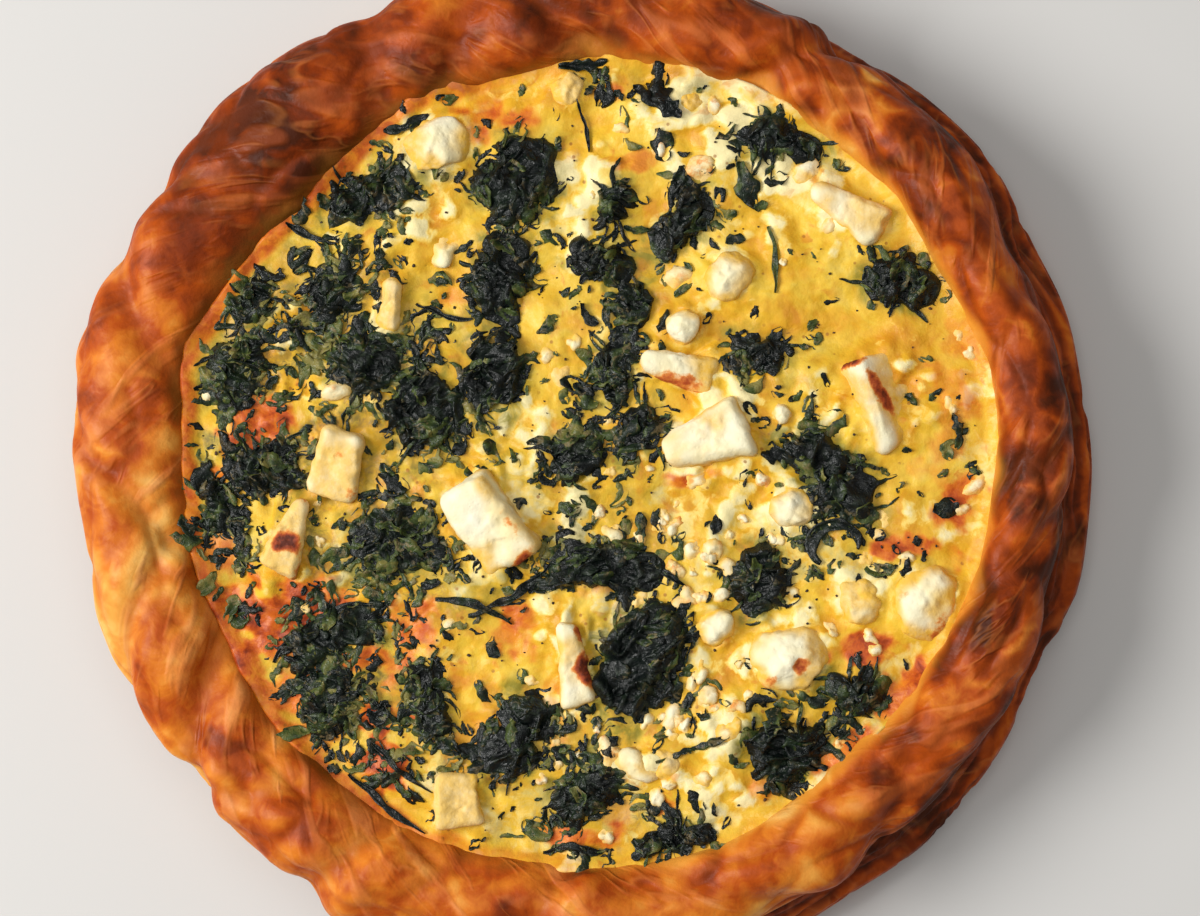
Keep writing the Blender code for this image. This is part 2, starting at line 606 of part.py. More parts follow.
def add_custard(collection, toppings, outlines, middles, holder):
    """The custard slab, with its crumbs fused on and a pocket cut for each topping."""
    custard = turned("custard_filling", custard_profile(), CUSTARD_SEGMENTS, custard_shape, collection, "custard")
    loose = bpy.data.collections.new("crumbs_and_shreds")
    bpy.context.scene.collection.children.link(loose)
    for count, (x, y, sizes, heading, sink) in enumerate(small_bits(outlines, middles)):
        form = bmesh.new()
        add_bit(form, x, y, sizes, heading, sink, count)
        mesh = bpy.data.meshes.new("bit")
        form.to_mesh(mesh)
        form.free()
        add_object("bit", mesh, loose)
    fused = custard.modifiers.new("fused_bits", "BOOLEAN")
    fused.operation = "UNION"
    fused.operand_type = "COLLECTION"
    fused.collection = loose
    fused.solver = "EXACT"
    whole = evaluated_mesh(custard)
    custard.modifiers.remove(fused)
    custard.data = whole
    whole.name = "custard_filling"
    whole.materials.clear()
    whole.materials.append(material("custard"))
    for item in list(loose.objects):
        bpy.data.objects.remove(item, do_unlink=True)
    bpy.data.collections.remove(loose)

    cutters = bpy.data.collections.new("cutters")
    bpy.context.scene.collection.children.link(cutters)
    form = bmesh.new()
    for name, item in toppings.items():
        bottom = points_in_plan(item)[:, 2].min() - POCKET_GAP
        add_shaft(form, widened(outlines[name], POCKET_GAP), middles[name], bottom)
    shafts = bpy.data.meshes.new("pocket_shafts")
    form.to_mesh(shafts)
    form.free()
    cutter = add_object("pocket_shafts", shafts, cutters)
    cutter.hide_render = True
    cutter.display_type = "WIRE"
    cutter.parent = holder
    pockets = custard.modifiers.new("pockets", "BOOLEAN")
    pockets.operation = "DIFFERENCE"
    pockets.object = cutter
    pockets.solver = "EXACT"
    custard.parent = holder
    return custard


def build():
    empty_scene()
    parts = bpy.data.collections.new(NAME)
    bpy.context.scene.collection.children.link(parts)
    holder = bpy.data.objects.new(NAME, None)
    parts.objects.link(holder)

    crust = turned("pastry_crust", crust_profile(), CRUST_SEGMENTS, crust_shape, parts, "pastry")
    crust.parent = holder

    toppings, outlines, middles = {}, {}, {}
    for name in FETA_BLOCKS:
        toppings[name] = add_feta_block(name, parts, holder)
    for name in FETA_LUMPS:
        toppings[name] = add_feta_lump(name, parts, holder)
    for name, item in toppings.items():
        flat = points_in_plan(item)[:, :2]
        middles[name] = 0.5 * (flat.min(0) + flat.max(0))
        outlines[name] = convex_outline(flat - middles[name])
    for name, (x, y, length, width, turn, lobes, rise) in SPINACH.items():
        middles[name] = np.array((x, y))
        outlines[name] = clump_outline(length, width, turn, lobes, name)
    outlines.update(keep_apart(outlines, middles, SPINACH, 2.0 * GAP))
    for name in SPINACH:
        toppings[name] = add_spinach(name, outlines[name], parts, holder)

    add_custard(parts, toppings, outlines, middles, holder)

    reach = points_in_plan(crust)
    middle = 0.5 * (reach.min(0) + reach.max(0))
    holder.location = (-middle[0] * MM, -middle[1] * MM, 0.0)


build()
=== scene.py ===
"""Looks of the puff pastry quiche: rolled crust, baked custard, feta and cooked spinach.

Shapes are worked out in millimetres with numpy and set into meshes in metres, in
the CAD frame. The rolled rim is a closed ring, and every other new piece is one or
more closed tubes: rings of points along a path, each end drawn together in one point.
"""
from math import acos, atan2, cos, pi, prod, radians, sin, sqrt

import bpy
import numpy as np
from mathutils import Matrix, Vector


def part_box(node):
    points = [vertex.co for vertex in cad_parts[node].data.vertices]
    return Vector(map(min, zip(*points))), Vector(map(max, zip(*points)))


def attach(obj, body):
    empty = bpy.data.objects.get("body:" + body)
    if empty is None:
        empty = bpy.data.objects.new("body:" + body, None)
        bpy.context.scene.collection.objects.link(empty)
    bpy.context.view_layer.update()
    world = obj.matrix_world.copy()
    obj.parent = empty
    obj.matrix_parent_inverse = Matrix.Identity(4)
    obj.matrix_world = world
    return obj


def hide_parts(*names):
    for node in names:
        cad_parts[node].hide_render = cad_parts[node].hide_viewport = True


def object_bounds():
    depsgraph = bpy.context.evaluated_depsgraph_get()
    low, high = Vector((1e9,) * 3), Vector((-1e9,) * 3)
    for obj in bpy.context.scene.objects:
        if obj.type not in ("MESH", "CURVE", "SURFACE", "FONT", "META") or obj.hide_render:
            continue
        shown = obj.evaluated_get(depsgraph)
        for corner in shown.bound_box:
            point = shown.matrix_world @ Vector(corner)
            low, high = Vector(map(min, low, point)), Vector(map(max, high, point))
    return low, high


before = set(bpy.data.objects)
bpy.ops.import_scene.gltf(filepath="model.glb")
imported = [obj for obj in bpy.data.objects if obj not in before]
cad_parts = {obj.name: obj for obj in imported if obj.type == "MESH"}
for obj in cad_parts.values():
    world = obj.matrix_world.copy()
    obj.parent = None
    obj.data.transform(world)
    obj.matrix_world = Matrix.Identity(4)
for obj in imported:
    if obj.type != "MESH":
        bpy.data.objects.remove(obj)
CAD_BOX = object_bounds()

MM = 0.001
TAU = 2 * pi

# From the place where the rings and browned patches are measured to the frame's origin
PLAN_SHIFT = np.array((1.15, 0.89))

# The crust's rings and heights, as in the CAD model
RIM_TOP = 37
ROLL_MIDDLE = 26.5
GROOVE_LEVEL = 16.5
LIP_LEVEL = 9.5
FLOOR_LEVEL = 6
CUSTARD_LEVEL = 30
CUSTARD_EDGE = 28.6
LIP_RADIUS = 123.6
LIP_SHIFT = (-1.2, -0.2)
ROLL_RADIUS = 120.6
ROLL_SHIFT = (-3.8, 2)
OPENING_RADIUS = 98.2
OPENING_SHIFT = (1.4, 1.4)
BASE_RADIUS = 108
ROLL_CREST = 109.5
LIP_WAVES = ((3, 0.7, 0.4), (8, 0.8, 2.2), (13, 0.5, 4.4), (21, 0.35, 1))
ROLL_WAVES = ((4, 0.6, 2.9), (9, 0.7, 0.7), (16, 0.45, 3.3))
OPENING_WAVES = ((5, 0.9, 1.7), (9, 0.8, 0.2), (14, 0.5, 5.2))
CREST_WAVES = ((3, 0.5, 1.2), (7, 0.6, 3.6), (12, 0.4, 0.5))
# How far the rolled edge bulges into the opening, at equal steps round it from +X
OPENING_BULGES = (
    0.8, 0.8, 0.5, 0, 0.9, 1, 2.2, 2.4, 1.5, 2, 2.6, 2.6, 1.2, 0.5,
    2.3, 5.2, 8, 3.4, 0.8, -2, 0, -0.5, -0.3, 0.8, 3, 3.2, 1, -0.3,
    0.3, 0.3, -0.3, 0.8, 0.8, 1.8, 3.2, 3, 2.6, 4.2, 3.6, 1.8, 1.8, 1.4,
)
# The rim's seams: (angle in degrees, depth, width in degrees, slant)
SEAMS = (
    (62.5, 3.4, 5, 3), (94, 2.4, 4.5, -5), (105, 1.8, 5, 4), (117.5, 2.2, 6, 2),
    (141, 1.6, 5, -4), (162, 2, 6, 5), (183, 1.6, 5, 8), (196, 2, 5, -7),
    (212.5, 3.2, 6.5, -5), (226, 1.5, 5, 6), (239, 3, 5, 2), (265, 2.4, 5, 3),
    (289, 1.4, 6, -6), (318, 1.3, 6, 7), (347, 1.2, 6, -6), (26, 1.3, 6, 5),
)
PILLOW_WAVES = ((11, 0.45, 0, 0.5), (19, 0.25, 2, -0.7), (27, 0.2, 4.1, 0.8))
CUSTARD_SWELLS = ((46, 0.45, 20, 0.3), (33, 0.4, 105, 1.9), (24, 0.35, 160, 4))

# How dark the rim baked round the quiche: (angle in degrees, 0 pale to 1 burnt)
TOAST_ROUND = (
    (0, 0.78), (25, 0.6), (45, 0.62), (60, 0.61), (80, 0.65), (95, 0.67), (105, 0.66), (118, 0.74),
    (129, 0.8), (139, 1), (148, 0.68), (156, 0.6), (164, 0.5), (175, 0.33), (190, 0.26), (205, 0.26),
    (218, 0.42), (232, 0.44), (250, 0.44), (270, 0.55), (292, 0.34), (305, 0.44), (318, 0.7), (340, 0.8),
)

# Browned patches of the filling, one partly painted shade: (x, y, length, width, turn in degrees, strength)
BROWNED_AND_SHADE = (
    (-75, -38, 34, 28, 20, 0.9), (-66, -32, 30, 14, -10, 0.75), (-83, -46, 16, 14, 40, 0.6),
    (-48.8, -67, 13, 24, 0, 0.9), (-46, -52, 12, 16, 0, 0.6), (-79.5, 10.5, 24, 12, 48, 0.8),
    (-76, -2, 12, 10, 0, 0.45), (91.5, -12, 20, 11, 80, 0.75), (88, -2, 10, 8, 0, 0.35),
    (68.6, -44.6, 16, 9, 0, 0.85), (82.5, -48, 16, 8, -30, 0.9), (76, -56, 20, 7, 30, 0.6),
    (-21.5, 86.6, 19, 11, 0, 0.6), (-30, 92, 14, 7, 20, 0.5), (6.3, 91.3, 10, 7, 0, 0.5),
    (25.6, -3.4, 19, 7, 10, 0.6), (77, -19, 11, 6, 0, 0.75), (-17, -39.6, 9, 18, 0, 0.6),
    (18.3, -81.7, 14, 6, 0, 0.6), (-3.7, -88, 22, 7, 0, 0.6), (15, 74, 12, 8, 30, 0.45),
    (-40, -38, 20, 11, 30, 0.6), (-58, -49, 26, 12, 30, 0.6), (63, -68, 22, 6, 38, 0.6),
    (-53, 84, 10, 6, 30, 0.55), (-62, -4, 9, 7, 0, 0.5), (-64.5, 66, 8, 5, 0, 0.45),
    (-88, -22, 9, 16, 0, 0.45), (44, -78, 10, 8, 0, 0.4), (6, -30, 16, 6, 0, 0.35),
    (-30, 41, 12, 7, 0, 0.35), (0, 33, 12, 9, 0, 0.3), (36, 62, 10, 8, 0, 0.25),
    (-2, 78, 10, 6, 0, 0.3), (66, 32, 20, 10, 0, 0.16), (48, 28, 14, 8, 0, 0.2),
    # The patch at (90, 14) is partly browned custard and partly painted shade to the right of the big tilted
    # feta lump
    (-66, -64, 18, 9, -50, 0.5), (90, 14, 18, 44, 0, 0.4), (78, 22, 12, 16, 0, 0.34),
    (-72, -55, 42, 26, -42, 0.6), (-20, -62, 30, 24, 0, 0.34), (8, -82, 40, 12, 0, 0.34),
)

# Stretches where chopped spinach lies between the clumps: (x, y, length, width, turn in degrees, strength)
CHOPPED = (
    (-58, 22, 96, 74, -15, 0.8), (-88, 0, 18, 78, 0, 0.9), (-54, -20, 76, 36, 0, 0.85),
    (-30, -28, 60, 22, 10, 0.75), (-56, -56, 44, 44, 0, 0.95), (-18, -72, 56, 30, 0, 0.6),
    (8, -87, 70, 18, 0, 0.8), (6, 24, 36, 76, -25, 0.4), (6, -14, 46, 40, 0, 0.45),
    (-18, 58, 34, 56, 0, 0.3), (-50, 70, 46, 26, 0, 0.4), (20, 60, 60, 22, 40, 0.3),
    (50, 78, 42, 16, 0, 0.35), (78, 44, 30, 16, 0, 0.3), (52, 24, 30, 20, 0, 0.35),
    (58, -12, 50, 44, 0, 0.42), (60, -60, 44, 34, 0, 0.45), (14, -48, 36, 50, 0, 0.55),
    (92, 4, 12, 22, 0, 0.3), (14, 92, 46, 10, 0, 0.5), (-44, 84, 26, 8, 20, 0.5),
)

# Long loose leaves and stalks: (x, y, heading in degrees, length, width, bend in degrees, tint)
LOOSE = (
    (-75.6, -48.3, 60, 34, 1.6, -60, 0.2), (-57.3, -73.9, -50, 24, 1.5, 25, 0.2),
    (-52, -66, -60, 20, 1.4, 40, 0.35), (66.5, -20.5, 80, 23, 3.2, 250, 0.35),
    (-1.4, 89.6, -75, 13.5, 0.9, -10, 0), (45, 58.2, -78, 16.5, 1.7, -28, 1),
    (-90, 31, -60, 16, 1.5, 30, 0.3), (-73, 60, -30, 14, 1.8, 30, 0.3),
    (-41, 40, -25, 15, 1.3, 20, 0.2), (26.5, -67.5, 10, 11, 2, 40, 0.7),
    (-9.8, -93, 10, 15, 2, -20, 0.3), (38.6, 73.7, -80, 12, 4.6, 15, 0.75),
    (-6, 97, 4, 12, 2.6, 5, 0.4), (-49, 82, 18, 12, 2.8, 20, 0.25),
    (17, 94, -60, 12, 5, 20, 0.15), (12, 92, -20, 12, 4, -30, 0.1),
    (34, 6, 190, 14, 1.4, -40, 0.2), (26, -30, 120, 13, 1.4, 60, 0.3),
    (-28, -36, 15, 24, 2, 30, 0.4), (-36, -32, -10, 20, 1.8, -40, 0.5),
    (90, 4, 60, 9, 2.2, 50, 0.6), (28, -68, 180, 10, 1.6, 30, 0.8),
)

# Scorched edges and spots of the feta: (x, y, length, width, turn in degrees, strength)
SCORCHED = (
    (64.8, 24.6, 12, 2.8, 11, 0.95), (72, 18.6, 13, 2.8, -61, 0.8), (-70.8, -18.3, 7.5, 6, 0, 1),
    (-68, -25.5, 9, 5, 60, 0.55), (1.4, -48.5, 10, 5, -70, 1), (0.6, -40.5, 6, 3, -60, 0.7),
    (-16.6, -13.7, 15, 3.6, -52, 0.3), (-13.6, -22, 8, 4, 40, 0.8), (53.2, -47.8, 5, 3.6, 20, 0.7),
    (45, -52.5, 7, 3, 40, 0.4), (-59, 3, 3.6, 3.2, 0, 0.35), (23.2, 20.2, 16, 4.4, -8, 0.55),
    (86, -39.5, 8, 4, 60, 0.4), (77.5, -31, 5, 3, 30, 0.35), (34, -1.5, 12, 4, 10, 0.4),
    (-66, -7, 6, 4, 0, 0.4), (-54, -7, 6, 5, 0, 0.35),
)


# Noise and plan


def fade(low, high, values):
    """0 below low and 1 above high, with a soft S between; low may be the larger."""
    share = np.clip((values - low) / (high - low), 0, 1)
    return share * share * (3 - 2 * share)


def hashed(place, seed):
    """A fixed random number from 0 to 1 for each whole place, by mixing its bits."""
    mixed = sum(axis * prime for axis, prime in zip(place, (374761393, 668265263, 1440662683)))
    mixed = (mixed + seed * 3266489917) & 0xFFFFFFFF
    mixed = ((mixed ^ (mixed >> 13)) * 1274126177) & 0xFFFFFFFF
    return ((mixed ^ (mixed >> 16)) & 0xFFFFFF) / 0xFFFFFF


def clouds(place, size, seed):
    """Smooth noise, -1 to 1, in 2 or 3 directions: lattice values blended by 3t*t - 2t*t*t."""
    place = np.broadcast_arrays(*place)
    whole = [np.floor(axis / size).astype(np.int64) for axis in place]
    soft = [fade(0, 1, axis / size - low) for axis, low in zip(place, whole)]
    total = 0
    for step in np.ndindex(*[2] * len(place)):
        share = prod(t if up else 1 - t for t, up in zip(soft, step))
        total += share * hashed([low + up for low, up in zip(whole, step)], seed)
    return 2 * total - 1


def layered(place, size, seed, layers=3):
    """Clouds on clouds: each layer has half the size and half the height of the last."""
    return sum(0.5 ** k * clouds(place, size / 2 ** k, seed + k) for k in range(layers))


def ridges(place, size, seed, layers=2):
    """Sharp crests from 0 to 1 where layered clouds cross zero."""
    return 1 - np.minimum(1, 1.8 * np.abs(layered(place, size, seed, layers)))


def cells(x, y, size, seed, around=None):
    """Distance to the nearest and second-nearest of one random point per square, in squares;
    with around, x starts again after that many."""
    gx, gy = np.broadcast_arrays(x / size, y / size)
    ix, iy = np.floor(gx).astype(np.int64), np.floor(gy).astype(np.int64)
    near = second = np.full(gx.shape, 9.0)
    for dx, dy in np.ndindex(3, 3):
        cx, cy = ix + dx - 1, iy + dy - 1
        square = (cx % around if around else cx, cy)
        away = np.hypot(cx + hashed(square, seed) - gx, cy + hashed(square, seed + 1) - gy)
        second = np.minimum(second, np.maximum(near, away))
        near = np.minimum(near, away)
    return near, second


def ring_radius(radius, shift, waves, angle):
    """Distance from the middle of the plan to a wavy circle whose own middle is shifted."""
    along = shift[0] * np.cos(angle) + shift[1] * np.sin(angle)
    across = shift[0] * np.sin(angle) - shift[1] * np.cos(angle)
    distance = along + np.sqrt(radius * radius - across * across)
    for count, height, turn in waves:
        distance += height * np.sin(count * angle + turn)
    return distance


def opening_radius(angle):
    """Distance from the middle of the plan to the edge of the opening."""
    steps = np.linspace(0, TAU, len(OPENING_BULGES), endpoint=False)
    bulge = np.interp(angle, steps, OPENING_BULGES, period=TAU)
    return ring_radius(OPENING_RADIUS, OPENING_SHIFT, OPENING_WAVES, angle) - bulge


def from_opening(x, y):
    """How far inside the edge of the opening a place lies."""
    px, py = x - PLAN_SHIFT[0], y - PLAN_SHIFT[1]
    return opening_radius(np.arctan2(py, px)) - np.hypot(px, py)


def plan_place(radius, angle):
    """The x and y at a distance and an angle from the middle of the plan."""
    return radius * np.cos(angle) + PLAN_SHIFT[0], radius * np.sin(angle) + PLAN_SHIFT[1]


def seam_distance(angle, over):
    """For each seam: its depth and the signed distance from it, in widths."""
    degrees = np.degrees(angle)
    for middle, depth, width, slant in SEAMS:
        line = middle + slant * (over - pi / 2)
        yield depth, ((degrees - line + 180) % 360 - 180) / width


def roll_relief(angle, over):
    """Swell of the roll: pillow waves, less a groove and plus a lap at each seam."""
    swell = sum(height * np.sin(count * angle + slant * over + turn)
                for count, height, turn, slant in PILLOW_WAVES)
    for depth, away in seam_distance(angle, over):
        swell -= depth * np.exp(-((2 * away) ** 2))
        swell += 0.35 * depth * np.exp(-((2 * (away - 0.9)) ** 2))
    return swell


# Meshes


def circle(columns):
    """Equal angles once round."""
    return np.arange(columns) * TAU / columns


def new_object(name, data):
    made = bpy.data.objects.new(name, data)
    bpy.context.scene.collection.objects.link(made)
    return made


def joined(*axes):
    """Rows of x, y and z from arrays of each, spread to one shape."""
    return np.stack(np.broadcast_arrays(*axes), axis=-1)


def ring_faces(rings):
    """Quads between neighbouring rings of point numbers."""
    after = np.roll(rings, -1, axis=1)
    return joined(rings[:-1], after[:-1], after[1:], rings[1:]).reshape(-1, 4).tolist()


def make_piece(name, points, faces, masks, finish, slot, *nodes):
    """A mesh with masks on its points, riding with the quiche and standing for CAD nodes."""
    mesh = bpy.data.meshes.new(name)
    mesh.from_pydata(points * MM, [], faces)
    mesh.validate()
    for mask, values in masks.items():
        kind, field = ("FLOAT", "value") if values.size == len(points) else ("FLOAT_VECTOR", "vector")
        held = mesh.attributes.new(mask, kind, "POINT")
        held.data.foreach_set(field, values.astype(np.float32).ravel())
    mesh.shade_smooth()
    mesh.materials.append(finish)
    piece = new_object(name, mesh)
    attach(piece, "root")
    if nodes:
        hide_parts(*nodes)


def make_tubes(name, tubes, finish, slot, *nodes):
    """A piece of closed tubes, each (rings, first end, last end, masks of its points)."""
    points, quads, fans, masks = [], [], [], {}
    start = 0
    for rings, first, last, own_masks in tubes:
        rows, columns = rings.shape[:2]
        points += [np.reshape(first, (1, 3)), rings.reshape(-1, 3), np.reshape(last, (1, 3))]
        numbers = start + 1 + np.arange(rows * columns).reshape(rows, columns)
        after = np.roll(numbers, -1, axis=1)
        quads += ring_faces(numbers)
        fans += joined(start, after[0], numbers[0]).tolist()
        start += rows * columns + 2
        fans += joined(start - 1, numbers[-1], after[-1]).tolist()
        for mask, values in own_masks.items():
            width = values.shape[2:]
            flat = np.broadcast_to(values, (rows, columns) + width).reshape(-1, *width)
            masks.setdefault(mask, []).append(np.concatenate((flat[:1], flat, flat[-1:])))
    masks = {mask: np.concatenate(values) for mask, values in masks.items()}
    make_piece(name, np.concatenate(points), quads + fans, masks, finish, slot, *nodes)


# Materials


def linear(colour):
    """A seen colour, two hex digits a channel, as the linear light that shaders take."""
    share = np.array([int(colour[start:start + 2], 16) for start in (0, 2, 4)]) / 255
    light = np.where(share <= 0.04045, share / 12.92, ((share + 0.055) / 1.055) ** 2.4)
    return (*light.tolist(), 1)


class Nodes:
    """Shader nodes of one tree: each method adds a node and gives its output."""

    def __init__(self, tree, place=None):
        self.tree, self.place = tree, place

    def add(self, kind, inputs=None, **settings):
        made = self.tree.nodes.new("ShaderNode" + kind)
        for setting, value in settings.items():
            setattr(made, setting, value)
        for socket, value in (inputs or {}).items():
            if isinstance(value, bpy.types.NodeSocket):
                self.tree.links.new(value, made.inputs[socket])
            else:
                made.inputs[socket].default_value = value
        return made

    def maths(self, operation, first, second=0, clamp=False):
        return self.add("Math", {0: first, 1: second}, operation=operation, use_clamp=clamp).outputs[0]

    def plus(self, first, second, clamp=False):
        return self.maths("ADD", first, second, clamp)

    def times(self, first, second):
        return self.maths("MULTIPLY", first, second)

    def fade(self, value, low, high, to_low=0, to_high=1):
        """The value from low to high, as a soft S from to_low to to_high."""
        return self.add("MapRange", {0: value, 1: low, 2: high, 3: to_low, 4: to_high},
                        interpolation_type="SMOOTHSTEP").outputs[0]

    def noise(self, scale, detail=3, roughness=0.55, distortion=0, place=None):
        return self.add("TexNoise", {"Vector": place or self.place, "Scale": scale, "Detail": detail,
                                     "Roughness": roughness, "Distortion": distortion}).outputs[0]

    def spots(self, scale, inner, outer):
        """1 round each cell's point, fading to 0 between the two distances."""
        distance = self.add("TexVoronoi", {"Vector": self.place, "Scale": scale}).outputs["Distance"]
        return self.fade(distance, inner, outer, 1, 0)

    def mask(self, name, output="Fac"):
        return self.add("Attribute", attribute_name=name).outputs[output]

    def ramp(self, value, *stops):
        """Colours along a 0 to 1 value; each stop is a place and a seen colour."""
        made = self.add("ValToRGB", {"Fac": value})
        elements = made.color_ramp.elements
        while len(elements) < len(stops):
            elements.new(0.5)
        for element, (place, colour) in zip(elements, stops):
            element.position = place
            element.color = linear(colour)
        return made.outputs["Color"]

    def mix(self, share, first, second):
        """The first colour turned by the share into the second, a node's or a seen one."""
        second = linear(second) if isinstance(second, str) else second
        return self.add("Mix", {0: share, 6: first, 7: second}, data_type="RGBA").outputs[2]


def crumb_grain_group():
    """Height of baked crumb: soft lumps, fine grain and small pits."""
    group = bpy.data.node_groups.new("crumb_grain", "ShaderNodeTree")
    group.interface.new_socket("Place", in_out="INPUT", socket_type="NodeSocketVector")
    for name in ("Lumps", "Grain", "Pits", "Pit Share"):
        group.interface.new_socket(name, in_out="INPUT", socket_type="NodeSocketFloat")
    group.interface.new_socket("Height", in_out="OUTPUT", socket_type="NodeSocketFloat")
    given = group.nodes.new("NodeGroupInput").outputs
    n = Nodes(group, given["Place"])
    height = n.plus(n.noise(given["Lumps"], 4, 0.6), n.times(n.noise(given["Grain"], 2, 0.5), 0.35))
    sunk = n.times(n.spots(given["Pits"], 0.12, 0.34), given["Pit Share"])
    out = group.nodes.new("NodeGroupOutput")
    group.links.new(n.maths("SUBTRACT", height, sunk), out.inputs["Height"])
    return group


CRUMB_GRAIN = crumb_grain_group()


class Finish(Nodes):
    """A material: its nodes on Object coordinates and its Principled shader's inputs."""

    def __init__(self, name):
        self.material = bpy.data.materials.new(name)
        self.material.use_nodes = True
        super().__init__(self.material.node_tree)
        self.inputs = self.tree.nodes["Principled BSDF"].inputs
        self.place = self.add("TexCoord").outputs["Object"]

    def crumb_grain(self, lumps, grain, pits, pit_share):
        return self.add("Group", {"Place": self.place, "Lumps": lumps, "Grain": grain, "Pits": pits,
                                  "Pit Share": pit_share}, node_tree=CRUMB_GRAIN).outputs["Height"]

    def settle(self, colour, grain, smooth, rough, shine, height, depth, strength):
        """Colour, roughness between two values by the grain, shine and bumps; gives the material."""
        self.tree.links.new(colour, self.inputs["Base Color"])
        self.tree.links.new(self.fade(grain, 0.3, 0.7, smooth, rough), self.inputs["Roughness"])
        self.inputs["Specular IOR Level"].default_value = shine
        bump = self.add("Bump", {"Strength": strength, "Distance": depth, "Height": height})
        self.tree.links.new(bump.outputs["Normal"], self.inputs["Normal"])
        return self.material


def pastry_finish():
    """Glazed puff pastry, from straw through golden orange and red-brown to dark toast, with painted shade
    and painted highlights.
    """
    n = Finish("baked_puff_pastry")
    # This mask is the bake's browning plus painted shade and painted light, set by side and recess in
    # make_rim and make_base
    toast_and_shading = n.mask("toast_and_shading")
    fine = n.noise(170, 3, 0.55, 0.8)
    level = n.plus(toast_and_shading, n.fade(n.noise(42, 3, 0.55, 0.6), 0.25, 0.75, -0.14, 0.14))
    level = n.plus(level, n.fade(fine, 0.25, 0.75, -0.09, 0.09), True)
    colour = n.ramp(level, (0, "f2c06a"), (0.2, "e69e44"), (0.4, "d27622"),
                    (0.6, "ae4a0e"), (0.8, "7c2e07"), (1, "441a05"))
    dough = n.mask("dough", "Vector")
    off_line = n.maths("ABSOLUTE", n.maths("SUBTRACT", n.noise(95, 2, 0.5, 0.7, dough), 0.5))
    patch = n.times(n.fade(n.noise(75, 2), 0.46, 0.62), n.fade(toast_and_shading, 0.35, 0.62, 0.25, 1))
    thin, broad = [n.times(n.fade(off_line, 0, width, 1, 0), patch) for width in (0.06, 0.11)]
    # Painted highlights: soft peach spots on the blisters, as if lit by the window lamp; the blisters are
    # also raised in the bump
    blister_and_highlight = n.fade(n.noise(84, 2, 0.5, 0.8, dough), 0.52, 0.68)
    peach_highlight = n.ramp(toast_and_shading, (0.2, "eaa668"), (0.6, "de7e3e"), (0.9, "b05222"))
    colour = n.mix(n.times(blister_and_highlight, n.fade(toast_and_shading, 0.2, 0.8, 0.55, 0.36)), colour, peach_highlight)
    # Painted highlight: pale peach thin lines along the crinkle ridges that the broad lines raise in the
    # bump
    colour = n.mix(n.times(thin, n.fade(toast_and_shading, 0.3, 0.95, 0.42, 0.18)), colour, "de8440")
    # Painted shade: red-brown in the creases, seams and gaps between flaky layers
    colour = n.mix(n.times(n.mask("crease"), 0.5), colour, "8c3a0e")
    # Painted light: golden on the inner side by the custard, strongest on the right, where that side faces
    # the window lamp
    colour = n.mix(n.times(n.mask("golden"), n.fade(fine, 0.3, 0.6, 0.5, 1)), colour, "da9030")
    n.tree.links.new(n.fade(toast_and_shading, 0.2, 0.6, 0.09, 0), n.inputs["Coat Weight"])
    n.inputs["Coat Roughness"].default_value = 0.3
    height = n.plus(n.times(n.crumb_grain(200, 900, 420, 0.1), 0.5), n.times(broad, 0.45))
    height = n.plus(height, n.times(blister_and_highlight, 0.5))
    return n.settle(colour, fine, 0.36, 0.54, 0.12, height, 0.0009, 0.6)


def custard_finish():
    """Baked custard: golden, with creamy curds, browned patches, one of them partly painted shade, and
    green-stained edges.
    """
    n = Finish("baked_custard")
    brown = n.mask("browned")
    fine = n.noise(260, 4, 0.6, 0.6)
    ragged = n.fade(fine, 0.3, 0.7, -0.22, 0.22)
    curd = n.plus(n.mask("cream"), ragged, True)
    mottle = n.plus(n.times(n.noise(55, 3, 0.6, 0.8), 0.5), n.times(n.noise(95, 4, 0.62, 0.9), 0.5))
    gold = n.ramp(mottle, (0.36, "ce8a1a"), (0.46, "dea826"), (0.56, "e8be3a"),
                  (0.68, "ecce60"))
    curds = n.ramp(curd, (0.25, "ecba3a"), (0.55, "f2d270"), (0.85, "f5e6ac"))
    colour = n.mix(n.fade(curd, 0.2, 0.5), gold, curds)
    toasted = n.times(n.fade(n.noise(170, 3, 0.6, 0.8), 0.55, 0.68),
                      n.fade(n.noise(38, 2), 0.44, 0.6, 0, 0.75))
    colour = n.mix(toasted, colour, "d68426")
    colour = n.mix(n.times(n.mask("green"), n.fade(fine, 0.35, 0.65, 0.3, 0.95)), colour, "8a802a")
    earth = n.ramp(fine, (0.35, "967642"), (0.5, "7c643a"), (0.65, "4a482a"))
    grit = n.fade(n.noise(520, 3, 0.6, 1), 0.4, 0.6, 0.15, 0.9)
    colour = n.mix(n.times(n.mask("taupe"), grit), colour, earth)
    # The browned mask includes one patch of painted shade, at (90, 14)
    burnt = n.ramp(n.plus(brown, ragged, True), (0, "e69e28"), (0.4, "d8761e"),
                   (0.68, "bc5216"), (0.88, "923610"), (1, "62240e"))
    colour = n.mix(n.fade(brown, 0.06, 0.5), colour, burnt)
    flecks = n.times(n.spots(330, 0.1, 0.2), n.fade(n.noise(90, 1), 0.55, 0.6))
    colour = n.mix(n.times(flecks, 0.7), colour, "96581a")
    return n.settle(colour, fine, 0.34, 0.52, 0.24, n.crumb_grain(260, 900, 420, 0.12), 0.0007, 0.45)


